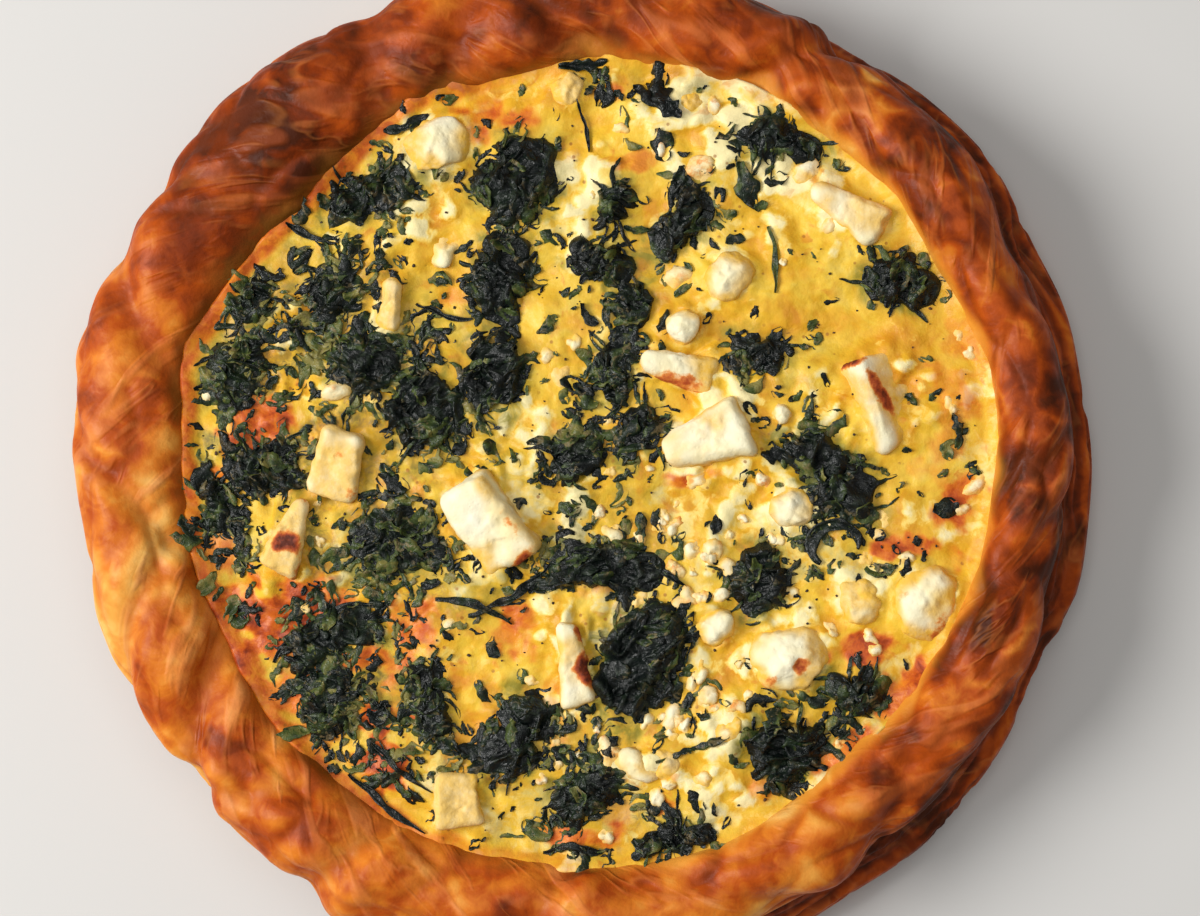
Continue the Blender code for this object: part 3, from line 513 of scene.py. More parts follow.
def feta_finish():
    """Crumbly feta: warm white, creamier in hollows, scorched orange to brown at spots."""
    n = Finish("crumbly_feta")
    fine = n.noise(420, 4, 0.65)
    colour = n.ramp(n.noise(120, 2), (0.3, "f0e2b0"), (0.55, "f3ebc8"), (0.8, "f5f0d8"))
    colour = n.mix(n.times(n.mask("low"), n.fade(fine, 0.3, 0.6, 0.75, 1)), colour, "ecba42")
    burn = n.plus(n.mask("scorch"), n.fade(fine, 0.3, 0.7, -0.18, 0.18), True)
    burnt = n.ramp(burn, (0, "f4c874"), (0.4, "e28c3c"), (0.7, "b04c22"), (1, "5c2414"))
    colour = n.mix(n.fade(burn, 0.15, 0.5), colour, burnt)
    return n.settle(colour, fine, 0.5, 0.7, 0.3, n.crumb_grain(420, 1500, 640, 0.25), 0.0006, 0.32)


def spinach_finish():
    """Cooked spinach: near-black green, mossy on thin parts, glossy, with painted highlights on its folds
    and leaf edges.
    """
    n = Finish("cooked_spinach")
    tint = n.mask("tint")
    wide, fine = n.noise(160, 3, 0.6, 0.8), n.noise(600, 3, 0.6, 1)
    shade = n.plus(n.times(tint, 0.62), n.fade(wide, 0.3, 0.7, -0.1, 0.32), True)
    colour = n.ramp(shade, (0, "050909"), (0.4, "0c1412"), (0.62, "1b2818"), (0.8, "445224"),
                    (1, "80783e"))
    flecks = n.times(n.fade(n.noise(380, 3, 0.6, 1.2), 0.54, 0.66), n.fade(tint, 0.3, 0.9, 0, 0.7))
    colour = n.mix(flecks, colour, "7c6c4a")
    # Painted highlight: lighter grey-green on the fold crests and leaf edges
    colour = n.mix(n.times(n.mask("crest"), n.fade(fine, 0.4, 0.7, 0, 0.36)), colour, "3c4832")
    height = n.plus(n.times(wide, 0.8), n.noise(480, 2, 0.5, 3))
    return n.settle(colour, fine, 0.24, 0.46, 0.3, height, 0.0006, 0.6)


def speck_finish():
    """Ground pepper and burnt crumbs: brown to black and dull."""
    n = Finish("pepper_and_burnt_crumbs")
    mixed = n.noise(700)
    colour = n.ramp(mixed, (0.3, "18100a"), (0.55, "3a2212"), (0.75, "6e421e"))
    return n.settle(colour, mixed, 0.55, 0.8, 0.5, mixed, 0.0003, 0.5)


PASTRY = pastry_finish()
CUSTARD = custard_finish()
FETA = feta_finish()
SPINACH = spinach_finish()
SPECK = speck_finish()


# Forms of the CAD nodes


def node_points(node):
    """Corners of a CAD node's mesh, in millimetres."""
    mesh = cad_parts[node].data
    points = np.empty(len(mesh.vertices) * 3, dtype=np.float32)
    mesh.vertices.foreach_get("co", points)
    return points.reshape(-1, 3) / MM


class Form:
    """A CAD node's middle, its reach by angle and its lowest and highest point."""

    def __init__(self, node):
        low, high = (np.array(corner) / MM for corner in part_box(node))
        self.middle = 0.5 * (low + high)[:2]
        self.low, self.high = low[2], high[2]
        away = np.round(node_points(node), 3).astype(float)[:, :2] - self.middle
        angle = np.arctan2(away[:, 1], away[:, 0])
        reach = np.hypot(away[:, 0], away[:, 1])
        self.angles = np.linspace(-pi, pi, 25)[:-1] + pi / 24
        turn = np.abs((angle[None] - self.angles[:, None] + pi) % TAU - pi)
        held = np.where(turn < pi / 9, reach[None], 0).max(1)
        self.reaches = np.maximum(held, 0.35 * reach.max())

    def reach(self, angle):
        """Distance from the middle to the outline."""
        return np.interp(angle, self.angles, self.reaches, period=TAU)

    def share(self, x, y):
        """How far out a place lies: 0 at the middle, 1 at the outline."""
        dx, dy = x - self.middle[0], y - self.middle[1]
        return np.hypot(dx, dy) / self.reach(np.arctan2(dy, dx))


FORMS = {node: Form(node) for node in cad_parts}
FETA_NODES = sorted(node for node in FORMS if node.startswith("feta"))
SPINACH_NODES = sorted(node for node in FORMS if node.startswith("spinach"))


def closeness(x, y, nodes, reach):
    """1 inside any of the nodes' outlines, fading to 0 that many millimetres outside."""
    mask = np.zeros(np.shape(x))
    for form in map(FORMS.get, nodes):
        near = np.hypot(x - form.middle[0], y - form.middle[1]) < form.reaches.max() + reach + 1
        if near.any():
            out = (form.share(x[near], y[near]) - 1) * form.reaches.mean()
            mask[near] = np.maximum(mask[near], fade(reach, 0, out))
    return mask


# Custard


def swell_height(x, y):
    """The surface's slow swells, falling to the edge level at the crust, as in the CAD."""
    px, py = x - PLAN_SHIFT[0], y - PLAN_SHIFT[1]
    height = CUSTARD_LEVEL + np.zeros(np.shape(px))
    for wavelength, rise, heading, phase in CUSTARD_SWELLS:
        path = px * cos(radians(heading)) + py * sin(radians(heading))
        height += rise * np.sin(TAU * path / wavelength + phase)
    return CUSTARD_EDGE + fade(1, 14, from_opening(x, y)) * (height - CUSTARD_EDGE)


def patch_mask(x, y, patches, ragged):
    """Strength of the strongest oval patch, made ragged by noise."""
    px, py = x - PLAN_SHIFT[0], y - PLAN_SHIFT[1]
    rough = ragged * layered((x, y), 5, 71)
    mask = np.zeros(np.shape(px))
    for cx, cy, length, width, turn, strength in patches:
        heading = radians(turn)
        along = (px - cx) * cos(heading) + (py - cy) * sin(heading)
        across = (py - cy) * cos(heading) - (px - cx) * sin(heading)
        out = np.hypot(2 * along / length, 2 * across / width)
        mask = np.maximum(mask, strength * fade(1.35, 0.35, out + rough))
    return mask


def custard_relief(x, y):
    """Curds and small blisters: rounded lumps from cells, and layered clouds."""
    flat = (x, y)
    near, _ = cells(x + 2.6 * clouds(flat, 5, 31), y + 2.6 * clouds(flat, 5, 32), 7, 33)
    lumps = fade(0.75, 0.05, near) * fade(-0.3, 0.5, clouds(flat, 18, 34))
    small, _ = cells(x + clouds(flat, 2, 38), y + clouds(flat, 2, 39), 2.8, 35)
    curds = 0.3 * fade(0.7, 0.1, small) * fade(-0.2, 0.4, clouds(flat, 8, 30))
    return 1.2 * lumps + curds + 0.75 * layered(flat, 8, 36, 4) - 0.45


def custard_top(x, y):
    """Height of the surface: swells and curds, climbing a little at the crust and the feta."""
    climb = 2 * fade(3.6, -2.4, from_opening(x, y) + 1.5 * clouds((x, y), 9, 29))
    round_feta = 1.9 * closeness(x, y, FETA_NODES, 4.4) ** 2 * (0.6 + 0.4 * clouds((x, y), 3, 37))
    return swell_height(x, y) + custard_relief(x, y) + climb + round_feta


# The heights of the baked custard every half millimetre, worked out once
GRID_START = -110
GRID_STEP = 0.5
GRID_POINTS = 441
GRID_LINE = GRID_START + GRID_STEP * np.arange(GRID_POINTS)
CUSTARD_GRID = custard_top(*np.meshgrid(GRID_LINE, GRID_LINE, indexing="ij"))


def on_custard(x, y):
    """Height of the custard, blended between the grid's four nearest points."""
    place = [np.clip((axis - GRID_START) / GRID_STEP, 0, GRID_POINTS - 1.001) for axis in (x, y)]
    (ix, iy), (tx, ty) = [axis.astype(int) for axis in place], [axis % 1 for axis in place]
    near = CUSTARD_GRID[ix, iy] * (1 - tx) + CUSTARD_GRID[ix + 1, iy] * tx
    far = CUSTARD_GRID[ix, iy + 1] * (1 - tx) + CUSTARD_GRID[ix + 1, iy + 1] * tx
    return near * (1 - ty) + far * ty


# The custard's side from its underside up: (share of the edge's radius, height)
CUSTARD_UNDERSIDE = FLOOR_LEVEL + 0.3
CUSTARD_SIDE = ((0.86, CUSTARD_UNDERSIDE), (0.9, CUSTARD_UNDERSIDE), (0.94, 16), (0.97, 22), (0.985, 26))
MIDDLE = np.array((*PLAN_SHIFT, 0))


def make_custard():
    """A closed slab: rings up the plain side, then in over the baked top."""
    columns, rows = 560, 150
    angle = circle(columns)
    edge = opening_radius(angle) + 2.2
    x, y = plan_place(np.linspace(1, 0.004, rows)[:, None] * edge, angle)
    sides = [joined(*plan_place(share * edge, angle), level) for share, level in CUSTARD_SIDE]
    rings = np.concatenate((sides, joined(x, y, on_custard(x, y))))
    x, y = rings[..., 0], rings[..., 1]
    flat = (x, y)
    cream = 0.5 * closeness(x, y, FETA_NODES, 4) + 0.75 * fade(0.05, 0.4, layered(flat, 12, 41, 4))
    cream = cream * 0.7 + 0.75 * fade(0.05, 0.75, custard_relief(x, y)) - 0.08
    cream -= 0.2 * fade(0, -30, x)
    cream -= 0.5 * fade(24, 6, np.hypot(x - 62, 0.7 * (y - 42)))
    cream -= 0.35 * fade(-60, -86, x)
    green = closeness(x, y, SPINACH_NODES, 4) * fade(-0.6, 0.4, clouds(flat, 6, 51))
    chopped = patch_mask(x, y, CHOPPED, 0.2)
    green = green + 0.85 * chopped * fade(-0.5, 0.3, layered(flat, 6, 55))
    taupe = chopped ** 2 * fade(-0.25, 0.3, layered(flat, 7, 48))
    at_crust = fade(3.4, 0, from_opening(x, y) + 1.4 * clouds(flat, 6, 49))
    # This browned mask also carries the painted shade of the patch at (90, 14)
    browned = np.maximum(0.82 * patch_mask(x, y, BROWNED_AND_SHADE, 0.7), at_crust * (0.18 + 0.3 * fade(20, -60, x)))
    masks = {"browned": browned, "taupe": taupe, "cream": cream.clip(0, 1), "green": green.clip(0, 1)}
    ends = [MIDDLE + (0, 0, level) for level in (CUSTARD_UNDERSIDE, on_custard(*PLAN_SHIFT))]
    make_tubes("custard_filling_baked", [(rings, *ends, masks)], CUSTARD, "custard", "custard_filling")


# Crust


ROUND_RADIUS = 110
SECTION_RADIUS = 11
PILLOWS_ROUND = 30
PILLOW_WIDTH = 13


def over_section(over):
    """Length over the roll's section from its lowest line, in millimetres."""
    return SECTION_RADIUS * ((over + 0.5 * pi) % TAU)


def rim_relief(angle, over, place):
    """Fine relief of the roll: soft pillows between creases, crinkles and flaky lines."""
    x, y, z = place
    section = over_section(over)
    along = angle / TAU * PILLOWS_ROUND + 0.16 * clouds(place, 16, 60) + 0.012 * section
    across = section / PILLOW_WIDTH + 0.35 * clouds(place, 16, 59)
    near, second = cells(along % PILLOWS_ROUND, across, 1, 61, PILLOWS_ROUND)
    creases = np.exp(-(((second - near) / 0.17) ** 2)) * fade(-0.4, 0.4, clouds(place, 14, 58))
    bent = 1.6 * clouds(place, 10, 56)
    crinkle = ridges((x + bent, y - bent, z + bent), 8, 63, 1) ** 2.5
    crinkle = crinkle * fade(-0.1, 0.45, clouds(place, 12, 64))
    swell = 0.8 * layered(place, 20, 65, 2) + 0.2 * layered(place, 7, 55, 1)
    lines = np.sin(1.7 * section + 1.4 * clouds((x, y), 26, 66) + 0.6 * clouds(place, 7, 68))
    flaky = (fade(0.9, 0, over) + fade(5, 5.9, over)) * fade(0.2, 1, lines)
    height = 1.3 * fade(0.75, 0, near) - 0.65 * creases + 0.2 * crinkle + swell - 0.45 * flaky - 0.45
    return height, creases, crinkle, flaky


def rim_points(angle, over):
    """Point of the roll at an angle round it and an angle over its section."""
    inner = np.cos(over) < 0
    reach = np.where(inner, ROLL_CREST - OPENING_RADIUS, ROLL_RADIUS - ROLL_CREST)
    rise = np.where(np.sin(over) > 0, RIM_TOP - ROLL_MIDDLE, ROLL_MIDDLE - GROOVE_LEVEL)
    radius = ROLL_CREST + reach * np.cos(over)
    height = ROLL_MIDDLE + rise * np.sin(over)
    share = (radius - OPENING_RADIUS) / (ROLL_RADIUS - OPENING_RADIUS)
    opening = opening_radius(angle)
    plan = opening + share * (ring_radius(ROLL_RADIUS, ROLL_SHIFT, ROLL_WAVES, angle) - opening)
    above = np.where(over < pi, over, np.where(over < 1.5 * pi, pi, 0))
    free = np.where(inner, fade(CUSTARD_LEVEL - 1, RIM_TOP - 2, height),
                    fade(GROOVE_LEVEL - 2, GROOVE_LEVEL + 5, height))
    place = (plan * np.cos(angle), plan * np.sin(angle), height)
    fine, creases, crests, flaky = rim_relief(angle, over, place)
    shown = fade(GROOVE_LEVEL - 4, GROOVE_LEVEL + 3, height) * np.where(inner, 0.3 + 0.7 * free, 1)
    crest = sum(h * np.sin(count * angle + turn) for count, h, turn in CREST_WAVES)
    crest = crest * fade(ROLL_MIDDLE, RIM_TOP, height)
    out = free * roll_relief(angle, above) + fine * shown
    plan += out * np.cos(over)
    height += out * np.sin(over)
    height += crest
    plan += 1.4 * fade(-0.2, -1, np.cos(angle)) * fade(GROOVE_LEVEL, ROLL_MIDDLE, height)
    points = joined(*plan_place(plan, angle), height)
    low, high = (np.array(corner) / MM for corner in CAD_BOX)
    return np.clip(points, low + 0.05, high - 0.05), creases, crests, flaky


def dough_place(angle, over):
    """Place on the dough for slanting patterns, in metres."""
    slant = angle + 0.12 * (over - 0.5 * pi)
    return MM * joined(ROUND_RADIUS * np.cos(slant), ROUND_RADIUS * np.sin(slant), 0.8 * over_section(over))


def make_rim():
    """The rolled rim: a closed ring whose section is an uneven oval."""
    columns, rows = 840, 104
    angle, over = np.meshgrid(circle(columns), (circle(rows) - 0.5 * pi) % TAU)
    points, creases, crests, flaky = rim_points(angle, over)
    x, _, z = place = np.moveaxis(points, -1, 0)
    toast_and_shading = np.interp(np.degrees(angle), *zip(*TOAST_ROUND), period=360)
    toast_and_shading += 0.15 * layered(place, 19, 67) + 0.22 * layered(place, 8, 54)
    inner = fade(2.2, 2.9, over + 0.25 * clouds(place, 8, 53)) * fade(4.6, 3.4, over)
    right = fade(-30, 60, x)
    # Painted light: the inner side is paler on the right, where it faces the window lamp
    toast_and_shading -= 0.34 * inner * right
    # Painted shade: the inner side is darker down by the custard on the left, where it faces away from the
    # window lamp
    at_custard = fade(CUSTARD_LEVEL + 4.5, CUSTARD_LEVEL + 1.5, z + 1.2 * clouds(place, 7, 51))
    toast_and_shading += (0.05 + 0.2 * at_custard) * inner * fade(0, -70, x)
    # Painted shade in the creases and painted highlight on the crinkle crests, stronger on the right
    toast_and_shading += 0.1 * creases - 0.3 * crests * (0.45 + 0.55 * right) + 0.06
    # Painted shade and light on the outer side: darker on the right, facing away from the window lamp,
    # lighter on the left, facing it; the flaky grooves stay darker as painted shade
    outside = fade(0.6, 0, over) + fade(4.8, 5.8, over)
    toast_and_shading += outside * (0.38 * right - 0.1 * (1 - right) - 0.12 * fade(0.6, 0, flaky))
    # Painted shade: this mask darkens the roll's creases, flaky grooves and seams
    crease = np.clip(0.6 * creases + 0.5 * flaky, 0, 1)
    for depth, away in seam_distance(angle, np.clip(over, 0, pi)):
        crease = np.maximum(crease, min(1, depth / 3) * np.exp(-((4 * away) ** 2)))
    # Painted light: golden on the inner side near the custard, weighted to the right, where that side faces
    # the window lamp
    golden = inner * fade(CUSTARD_LEVEL + 7, CUSTARD_LEVEL + 1, z + 2 * clouds(place, 6, 52))
    masks = {"toast_and_shading": toast_and_shading.clip(0, 1), "crease": crease, "golden": golden * (0.25 + 0.75 * right),
             "dough": dough_place(angle, over)}
    numbers = np.arange(rows * columns).reshape(rows, columns)
    faces = ring_faces(np.vstack((numbers, numbers[:1])))
    make_piece("pastry_rolled_rim", points.reshape(-1, 3), faces, masks, PASTRY, "pastry", "pastry_crust")


# The dough under the roll, from the base's edge up round the lip to the groove: (radius, height)
LIP_PROFILE = (
    (BASE_RADIUS, 0), (BASE_RADIUS + 6, 1.6), (LIP_RADIUS - 2.4, LIP_LEVEL - 3.6), (LIP_RADIUS, LIP_LEVEL),
    (LIP_RADIUS - 0.6, LIP_LEVEL + 2.2), (ROLL_RADIUS - 1, GROOVE_LEVEL - 2.6),
    (ROLL_RADIUS - 3.6, GROOVE_LEVEL + 0.4), (ROLL_CREST, GROOVE_LEVEL + 2),
)


def make_base():
    """The dough under the roll: base, flaky lip, groove, and the floor under the custard."""
    columns, lip_rows = 640, 58
    angle = circle(columns)
    across, up = np.array(LIP_PROFILE).T
    path = np.concatenate(([0], np.cumsum(np.hypot(np.diff(across), np.diff(up)))))
    steps = np.linspace(0, path[-1], lip_rows)[1:]
    profile = [(share * BASE_RADIUS, 0) for share in (0.3, 0.6, 0.85, 1)]
    profile += list(zip(np.interp(steps, path, across), np.interp(steps, path, up)))
    profile += [(OPENING_RADIUS - 2, GROOVE_LEVEL), (90, FLOOR_LEVEL), (40, FLOOR_LEVEL)]
    radius, height = np.array(profile).T
    plan = radius[:, None] * ring_radius(LIP_RADIUS, LIP_SHIFT, LIP_WAVES, angle) / LIP_RADIUS
    level = np.broadcast_to(height[:, None], plan.shape)
    x, y = plan * np.cos(angle), plan * np.sin(angle)
    outer = fade(BASE_RADIUS, BASE_RADIUS + 5, radius[:, None]) * (level < GROOVE_LEVEL + 1)
    drift = 2.6 * clouds((x, y), 26, 81) + 0.9 * clouds((x, y, 0.5 * level), 8, 82)
    parted = fade(-0.5, 0.35, clouds((x, y, 2.5 * level), 15, 86))
    leaves = 1 - parted * (1 - np.abs((0.85 * (level + drift)) % 2 - 1))
    ragged = 1.5 * fade(0.2, 0.9, leaves) * (0.7 + 0.5 * layered((x, y, 1.5 * level), 5, 83))
    plan += np.minimum(outer * (-1 + ragged + 0.5 * layered((x, y, level), 14, 84, 2)), 0)
    x, y = plan_place(plan, angle)
    rings = joined(x, y, level)
    toast_and_shading = 0.5 + 0.14 * layered((x, y, level), 15, 85) - 0.28 * fade(0.3, 0.95, leaves) * outer
    toast_and_shading += 0.1 * fade(LIP_LEVEL - 5, LIP_LEVEL + 1, level)
    # Painted shade up in the groove under the roll; darker on the right partly by bake and partly as painted
    # shade on the side facing away from the window lamp
    toast_and_shading += 0.18 * fade(GROOVE_LEVEL - 4, GROOVE_LEVEL, level) + 0.42 * fade(0, 80, x)
    # Painted shade: the crease mask darkens the gaps between flaky layers
    masks = {"toast_and_shading": toast_and_shading.clip(0, 1), "crease": 0.8 * fade(0.35, 0, leaves) * outer,
             "golden": 0 * toast_and_shading, "dough": MM * rings}
    make_tubes("pastry_base_and_lip", [(rings, MIDDLE, MIDDLE + (0, 0, FLOOR_LEVEL), masks)], PASTRY,
               "pastry", "pastry_crust")


# Feta


def node_planes(node):
    """Outward normals of a convex CAD node's flat faces, and their distances from its middle."""
    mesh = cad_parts[node].data
    form = FORMS[node]
    middle = np.array((*form.middle, 0.5 * (form.low + form.high)))
    corners = np.empty(len(mesh.polygons) * 3, dtype=np.int32)
    mesh.polygons.foreach_get("vertices", corners)
    corners = node_points(node)[corners.reshape(-1, 3)] - middle
    normals = np.cross(corners[:, 1] - corners[:, 0], corners[:, 2] - corners[:, 0])
    area = np.linalg.norm(normals, axis=1)
    keep = area > 1e-3
    normals = normals[keep] / area[keep, None]
    distances = (normals * corners[keep, 0]).sum(1)
    return middle, np.where(distances[:, None] < 0, -normals, normals), np.abs(distances)


def ball_directions(rows, columns):
    """Unit directions in rings from straight down to straight up."""
    polar = np.linspace(-0.5 * pi, 0.5 * pi, rows + 2)[1:-1][:, None]
    angle = circle(columns)
    return joined(np.cos(polar) * np.cos(angle), np.cos(polar) * np.sin(angle), np.sin(polar))


EDGE_SHARPNESS = 34


def make_feta(node, seed):
    """A crumbly lump: a soft minimum of the CAD solid's faces, roughened by crumbs."""
    rows, columns = 54, 84
    middle, normals, distances = node_planes(node)
    aim = ball_directions(rows, columns)
    facing = np.maximum(aim @ normals.T, 1e-4) / distances
    soft = (facing ** EDGE_SHARPNESS).sum(-1) ** (-1 / EDGE_SHARPNESS)
    reach = np.minimum(1 / facing.max(-1), 1.02 * soft)
    x, y, z = place = np.moveaxis(middle + aim * reach[..., None], -1, 0)
    chips, _ = cells(x + 0.7 * z + clouds(place, 2, 120), y - 0.6 * z, 3, 100 + seed)
    crumbs = 0.5 * layered(place, 4, 200 + seed) + 0.26 * fade(0.6, 0.1, chips) - 0.1
    broken = 0.9 * clouds(place, 9, 250 + seed) - 1.1 * fade(0.3, 0.8, clouds(place, 6, 300 + seed))
    reach = 1.06 * reach + crumbs + broken
    rings = middle + aim * reach[..., None]
    x, y, z = place = np.moveaxis(rings, -1, 0)
    low = fade(3.6, 0.4, z - on_custard(x, y) + 1.8 * clouds(place, 5, 400 + seed))
    skin = 0.8 * fade(-0.05, 0.4, clouds(place, 10, 450 + seed))
    ends = [middle + (0, 0, side * reach[row].mean()) for side, row in ((-1, 0), (1, -1))]
    masks = {"scorch": patch_mask(x, y, SCORCHED, 0.35), "low": np.maximum(low, skin)}
    make_tubes(node + "_crumbly", [(rings, *ends, masks)], FETA, "feta", node)


# Spinach


def clump_height(form, x, y, seed, heading):
    """Height of the crumpled mound at a place, and how high on a fold that place is."""
    flat = (x, y)
    share = np.minimum(1, form.share(x, y))
    rise = form.high - swell_height(*form.middle)
    dome = (1 - share ** 3) ** 0.55
    bent_x = x + 3.2 * clouds(flat, 8, seed + 1)
    bent_y = y + 3.2 * clouds(flat, 8, seed + 2)
    along = bent_x * cos(heading) + bent_y * sin(heading)
    across = bent_y * cos(heading) - bent_x * sin(heading)
    folds = ridges((0.45 * along, across), 4.2, seed + 3)
    small = ridges((0.7 * along, across), 1.9, seed + 5)
    lumps = 0.5 + 0.5 * layered(flat, 8, seed + 7, 2)
    climb = dome * (0.1 * rise + 0.42 * rise * lumps + 0.42 * rise * folds ** 1.4 + 0.55 * small)
    height = np.minimum(on_custard(x, y) - 0.4 + climb, form.high - 0.2)
    return height, fade(0.55, 0.95, folds) + 0.5 * fade(0.6, 0.95, small)


def clump_body(form, seed, heading):
    """A crumpled mound with a ragged edge and a skirt into the custard."""
    rows, columns = 34, 108
    angle = circle(columns) - pi
    reach = form.reach(angle)
    edge = (reach * np.cos(angle), reach * np.sin(angle))
    reach = reach * (0.92 + 0.2 * layered(edge, 7, seed))
    share = np.linspace(1, 0.02, rows)[:, None]
    x, y = [middle + share * reach * wave(angle) for middle, wave in zip(form.middle, (np.cos, np.sin))]
    height, crest = clump_height(form, x, y, seed, heading)
    height[0] = on_custard(x[0], y[0]) - 0.3
    rings = np.concatenate((joined(x[0], y[0], height[0] - 1.5)[None], joined(x, y, height)))
    tint = 0.2 + 0.35 * layered((x, y), 6, seed + 9, 2) + 0.3 * fade(0.8, 1, share)
    tint += 0.22 * fade(-20, -60, x)
    # crest marks the fold tops, which get a painted highlight
    masks = {"tint": np.clip(np.concatenate((tint[:1], tint)), 0, 1),
             "crest": np.clip(np.concatenate((0 * crest[:1], crest)), 0, 1)}
    return rings, (*form.middle, height[0].mean() - 2), (*form.middle, height[-1].mean()), masks


def leaf(start, heading, length, width, bend, level, lift, curl, tint, seed, rows=12, half=6):
    """A wilted leaf: a thin closed sheet along a bent line, ragged, folded and pointed.

    level works out the height below it, lift raises its ends and middle, curl turns its edges up.
    """
    t = np.linspace(0, 1, rows)[:, None]
    turn = heading + bend * t + 0.35 * clouds((5 * t, 0), 1, seed + 2)
    step = length / (rows - 1)
    x = start[0] + np.cumsum(step * np.cos(turn), axis=0)
    y = start[1] + np.cumsum(step * np.sin(turn), axis=0)
    ragged = 1 + 0.45 * clouds((8 * t, 0), 1, seed)
    spread = 0.5 * width * np.sin(pi * np.clip(0.06 + 0.9 * t, 0, 1)) ** 0.6 * ragged
    v = np.linspace(-1, 1, half)
    v = np.concatenate((v, v[::-1]))[None]
    side = np.repeat((-1, 1), half)[None]
    px = x - v * spread * np.sin(turn)
    py = y + v * spread * np.cos(turn)
    line = np.interp(t, (0, 0.5, 1), lift)
    wave = 0.12 * width * np.sin(2.6 * v + 5 * t + seed) + 0.3 * clouds((px, py), 1.8, seed + 1)
    rings = joined(px, py, level(px, py) + line + wave + curl * v * v + 0.13 * side)
    # crest puts a painted highlight along the leaf's edges
    masks = {"tint": tint + 0.12 * np.abs(v), "crest": 0.6 * np.abs(v) ** 3}
    return rings, rings[0].mean(0), rings[-1].mean(0), masks


def make_spinach(node, seed):
    """A clump: its crumpled body, wilted leaves over and beside it, and a few stalks."""
    form = FORMS[node]
    rng = np.random.default_rng(900 + seed)
    draw = rng.uniform
    noise_seed = 1000 + 20 * seed
    main = draw(0, pi)
    tubes = [clump_body(form, noise_seed, main)]
    size = form.reaches.mean()
    left = 0.2 * fade(-20, -60, form.middle[0])

    def level(x, y):
        return np.maximum(clump_height(form, x, y, noise_seed, main)[0], on_custard(x, y))

    for count in range(int(5 + pi * size * size / 15)):
        angle = draw(-pi, pi)
        share = sqrt(draw(0.1, 1.05))
        heading = main + rng.normal(0, 0.75) + rng.choice((0, pi))
        length = draw(3.5, 9)
        width = draw(0.3, 0.62) * length
        start = form.middle + share * form.reach(angle) * np.array((cos(angle), sin(angle)))
        start -= 0.5 * length * np.array((cos(heading), sin(heading)))
        lift = draw(0, 0.4, 3) if share < 0.85 else draw(-0.4, 0.15, 3)
        tubes.append(leaf(start, heading, length, width, draw(-1.6, 1.6), level, lift, draw(-0.3, 0.5),
                          draw(0, 0.95) + left, 2000 + 60 * seed + count))
    for count in range(4):
        angle = draw(-pi, pi)
        start = form.middle + 0.7 * form.reach(angle) * np.array((cos(angle), sin(angle)))
        tubes.append(leaf(start, angle + draw(-0.9, 0.9), draw(4, 9), draw(0.7, 1.1), draw(-1.4, 1.4), level,
                          (0.3, 0.2, 0.1), 0, draw(0.2, 1), 5000 + 60 * seed + count))
    make_tubes(node + "_wilted", tubes, SPINACH, "spinach", node)


# Small things scattered over the custard


def scatter(rng, count, density):
    """Random places, kept where a drawn number is under the local density."""
    radius = (OPENING_RADIUS - 1.6) * np.sqrt(rng.random(count * 12))
    x, y = plan_place(radius, rng.uniform(0, TAU, count * 12))
    x, y = x + OPENING_SHIFT[0], y + OPENING_SHIFT[1]
    keep = (rng.random(count * 12) < density(x, y)) & (from_opening(x, y) > 1.2)
    return list(zip(x[keep], y[keep]))[:count]


def strew_leaves(name, places, draw, length, widths, bend, lifts, curls, tints, seed, rows, half):
    """A piece of leaves lying on the custard; pairs are limits that values are drawn from."""
    tubes = []
    for count, place in enumerate(places):
        size = length()
        tubes.append(leaf(place, draw(0, TAU), size, draw(*widths) * size, draw(-bend, bend), on_custard,
                          draw(*lifts, 3), draw(*curls), draw(*tints), seed + 3 * count, rows, half))
    make_tubes(name, tubes, SPINACH, "spinach")


def make_shreds():
    """Chopped bits of leaf and stalk ends lying on the custard, most at the left."""
    rng = np.random.default_rng(5)

    def density(x, y):
        grouped = fade(-0.45, 0.25, clouds((x, y), 5, 13))
        near = 0.6 * closeness(x, y, SPINACH_NODES, 4)
        spread = np.maximum(near, patch_mask(x, y, CHOPPED, 0.3)) * grouped
        return (0.02 + 0.98 * spread) * (1 - 0.95 * closeness(x, y, FETA_NODES, 0.5))

    strew_leaves("spinach_shreds", scatter(rng, 1350, density), rng.uniform,
                 lambda: rng.uniform(1.4, 4.2) * rng.choice((1, 1, 1.5)), (0.3, 0.7), 1.8, (-0.25, 0.35),
                 (-0.1, 0.3), (0.1, 1.3), 7000, 7, 4)


def make_scraps():
    """Larger scraps of leaf, lying flat in the custard between the clumps, most at the left."""
    rng = np.random.default_rng(6)

    def density(x, y):
        grouped = fade(-0.35, 0.2, clouds((x, y), 7, 14))
        return patch_mask(x, y, CHOPPED, 0.3) ** 2 * grouped * (1 - closeness(x, y, FETA_NODES, 1.5))

    strew_leaves("spinach_scraps", scatter(rng, 400, density), rng.uniform, lambda: rng.uniform(4, 9),
                 (0.28, 0.6), 2.4, (-0.3, 0.6), (-0.3, 0.5), (0.25, 1.25), 30000, 12, 6)


def make_loose_leaves():
    """The long stalks, strips and curls that lie loose, each a bent leaf."""
    tubes = [leaf(PLAN_SHIFT + (x, y), radians(heading), length, width, radians(bend), on_custard,
                  (0.2, 0.7, 0.3), 0.2, tint, 9500 + 5 * count, 40, 6)
             for count, (x, y, heading, length, width, bend, tint) in enumerate(LOOSE)]
    make_tubes("spinach_stalks_and_strips", tubes, SPINACH, "spinach")


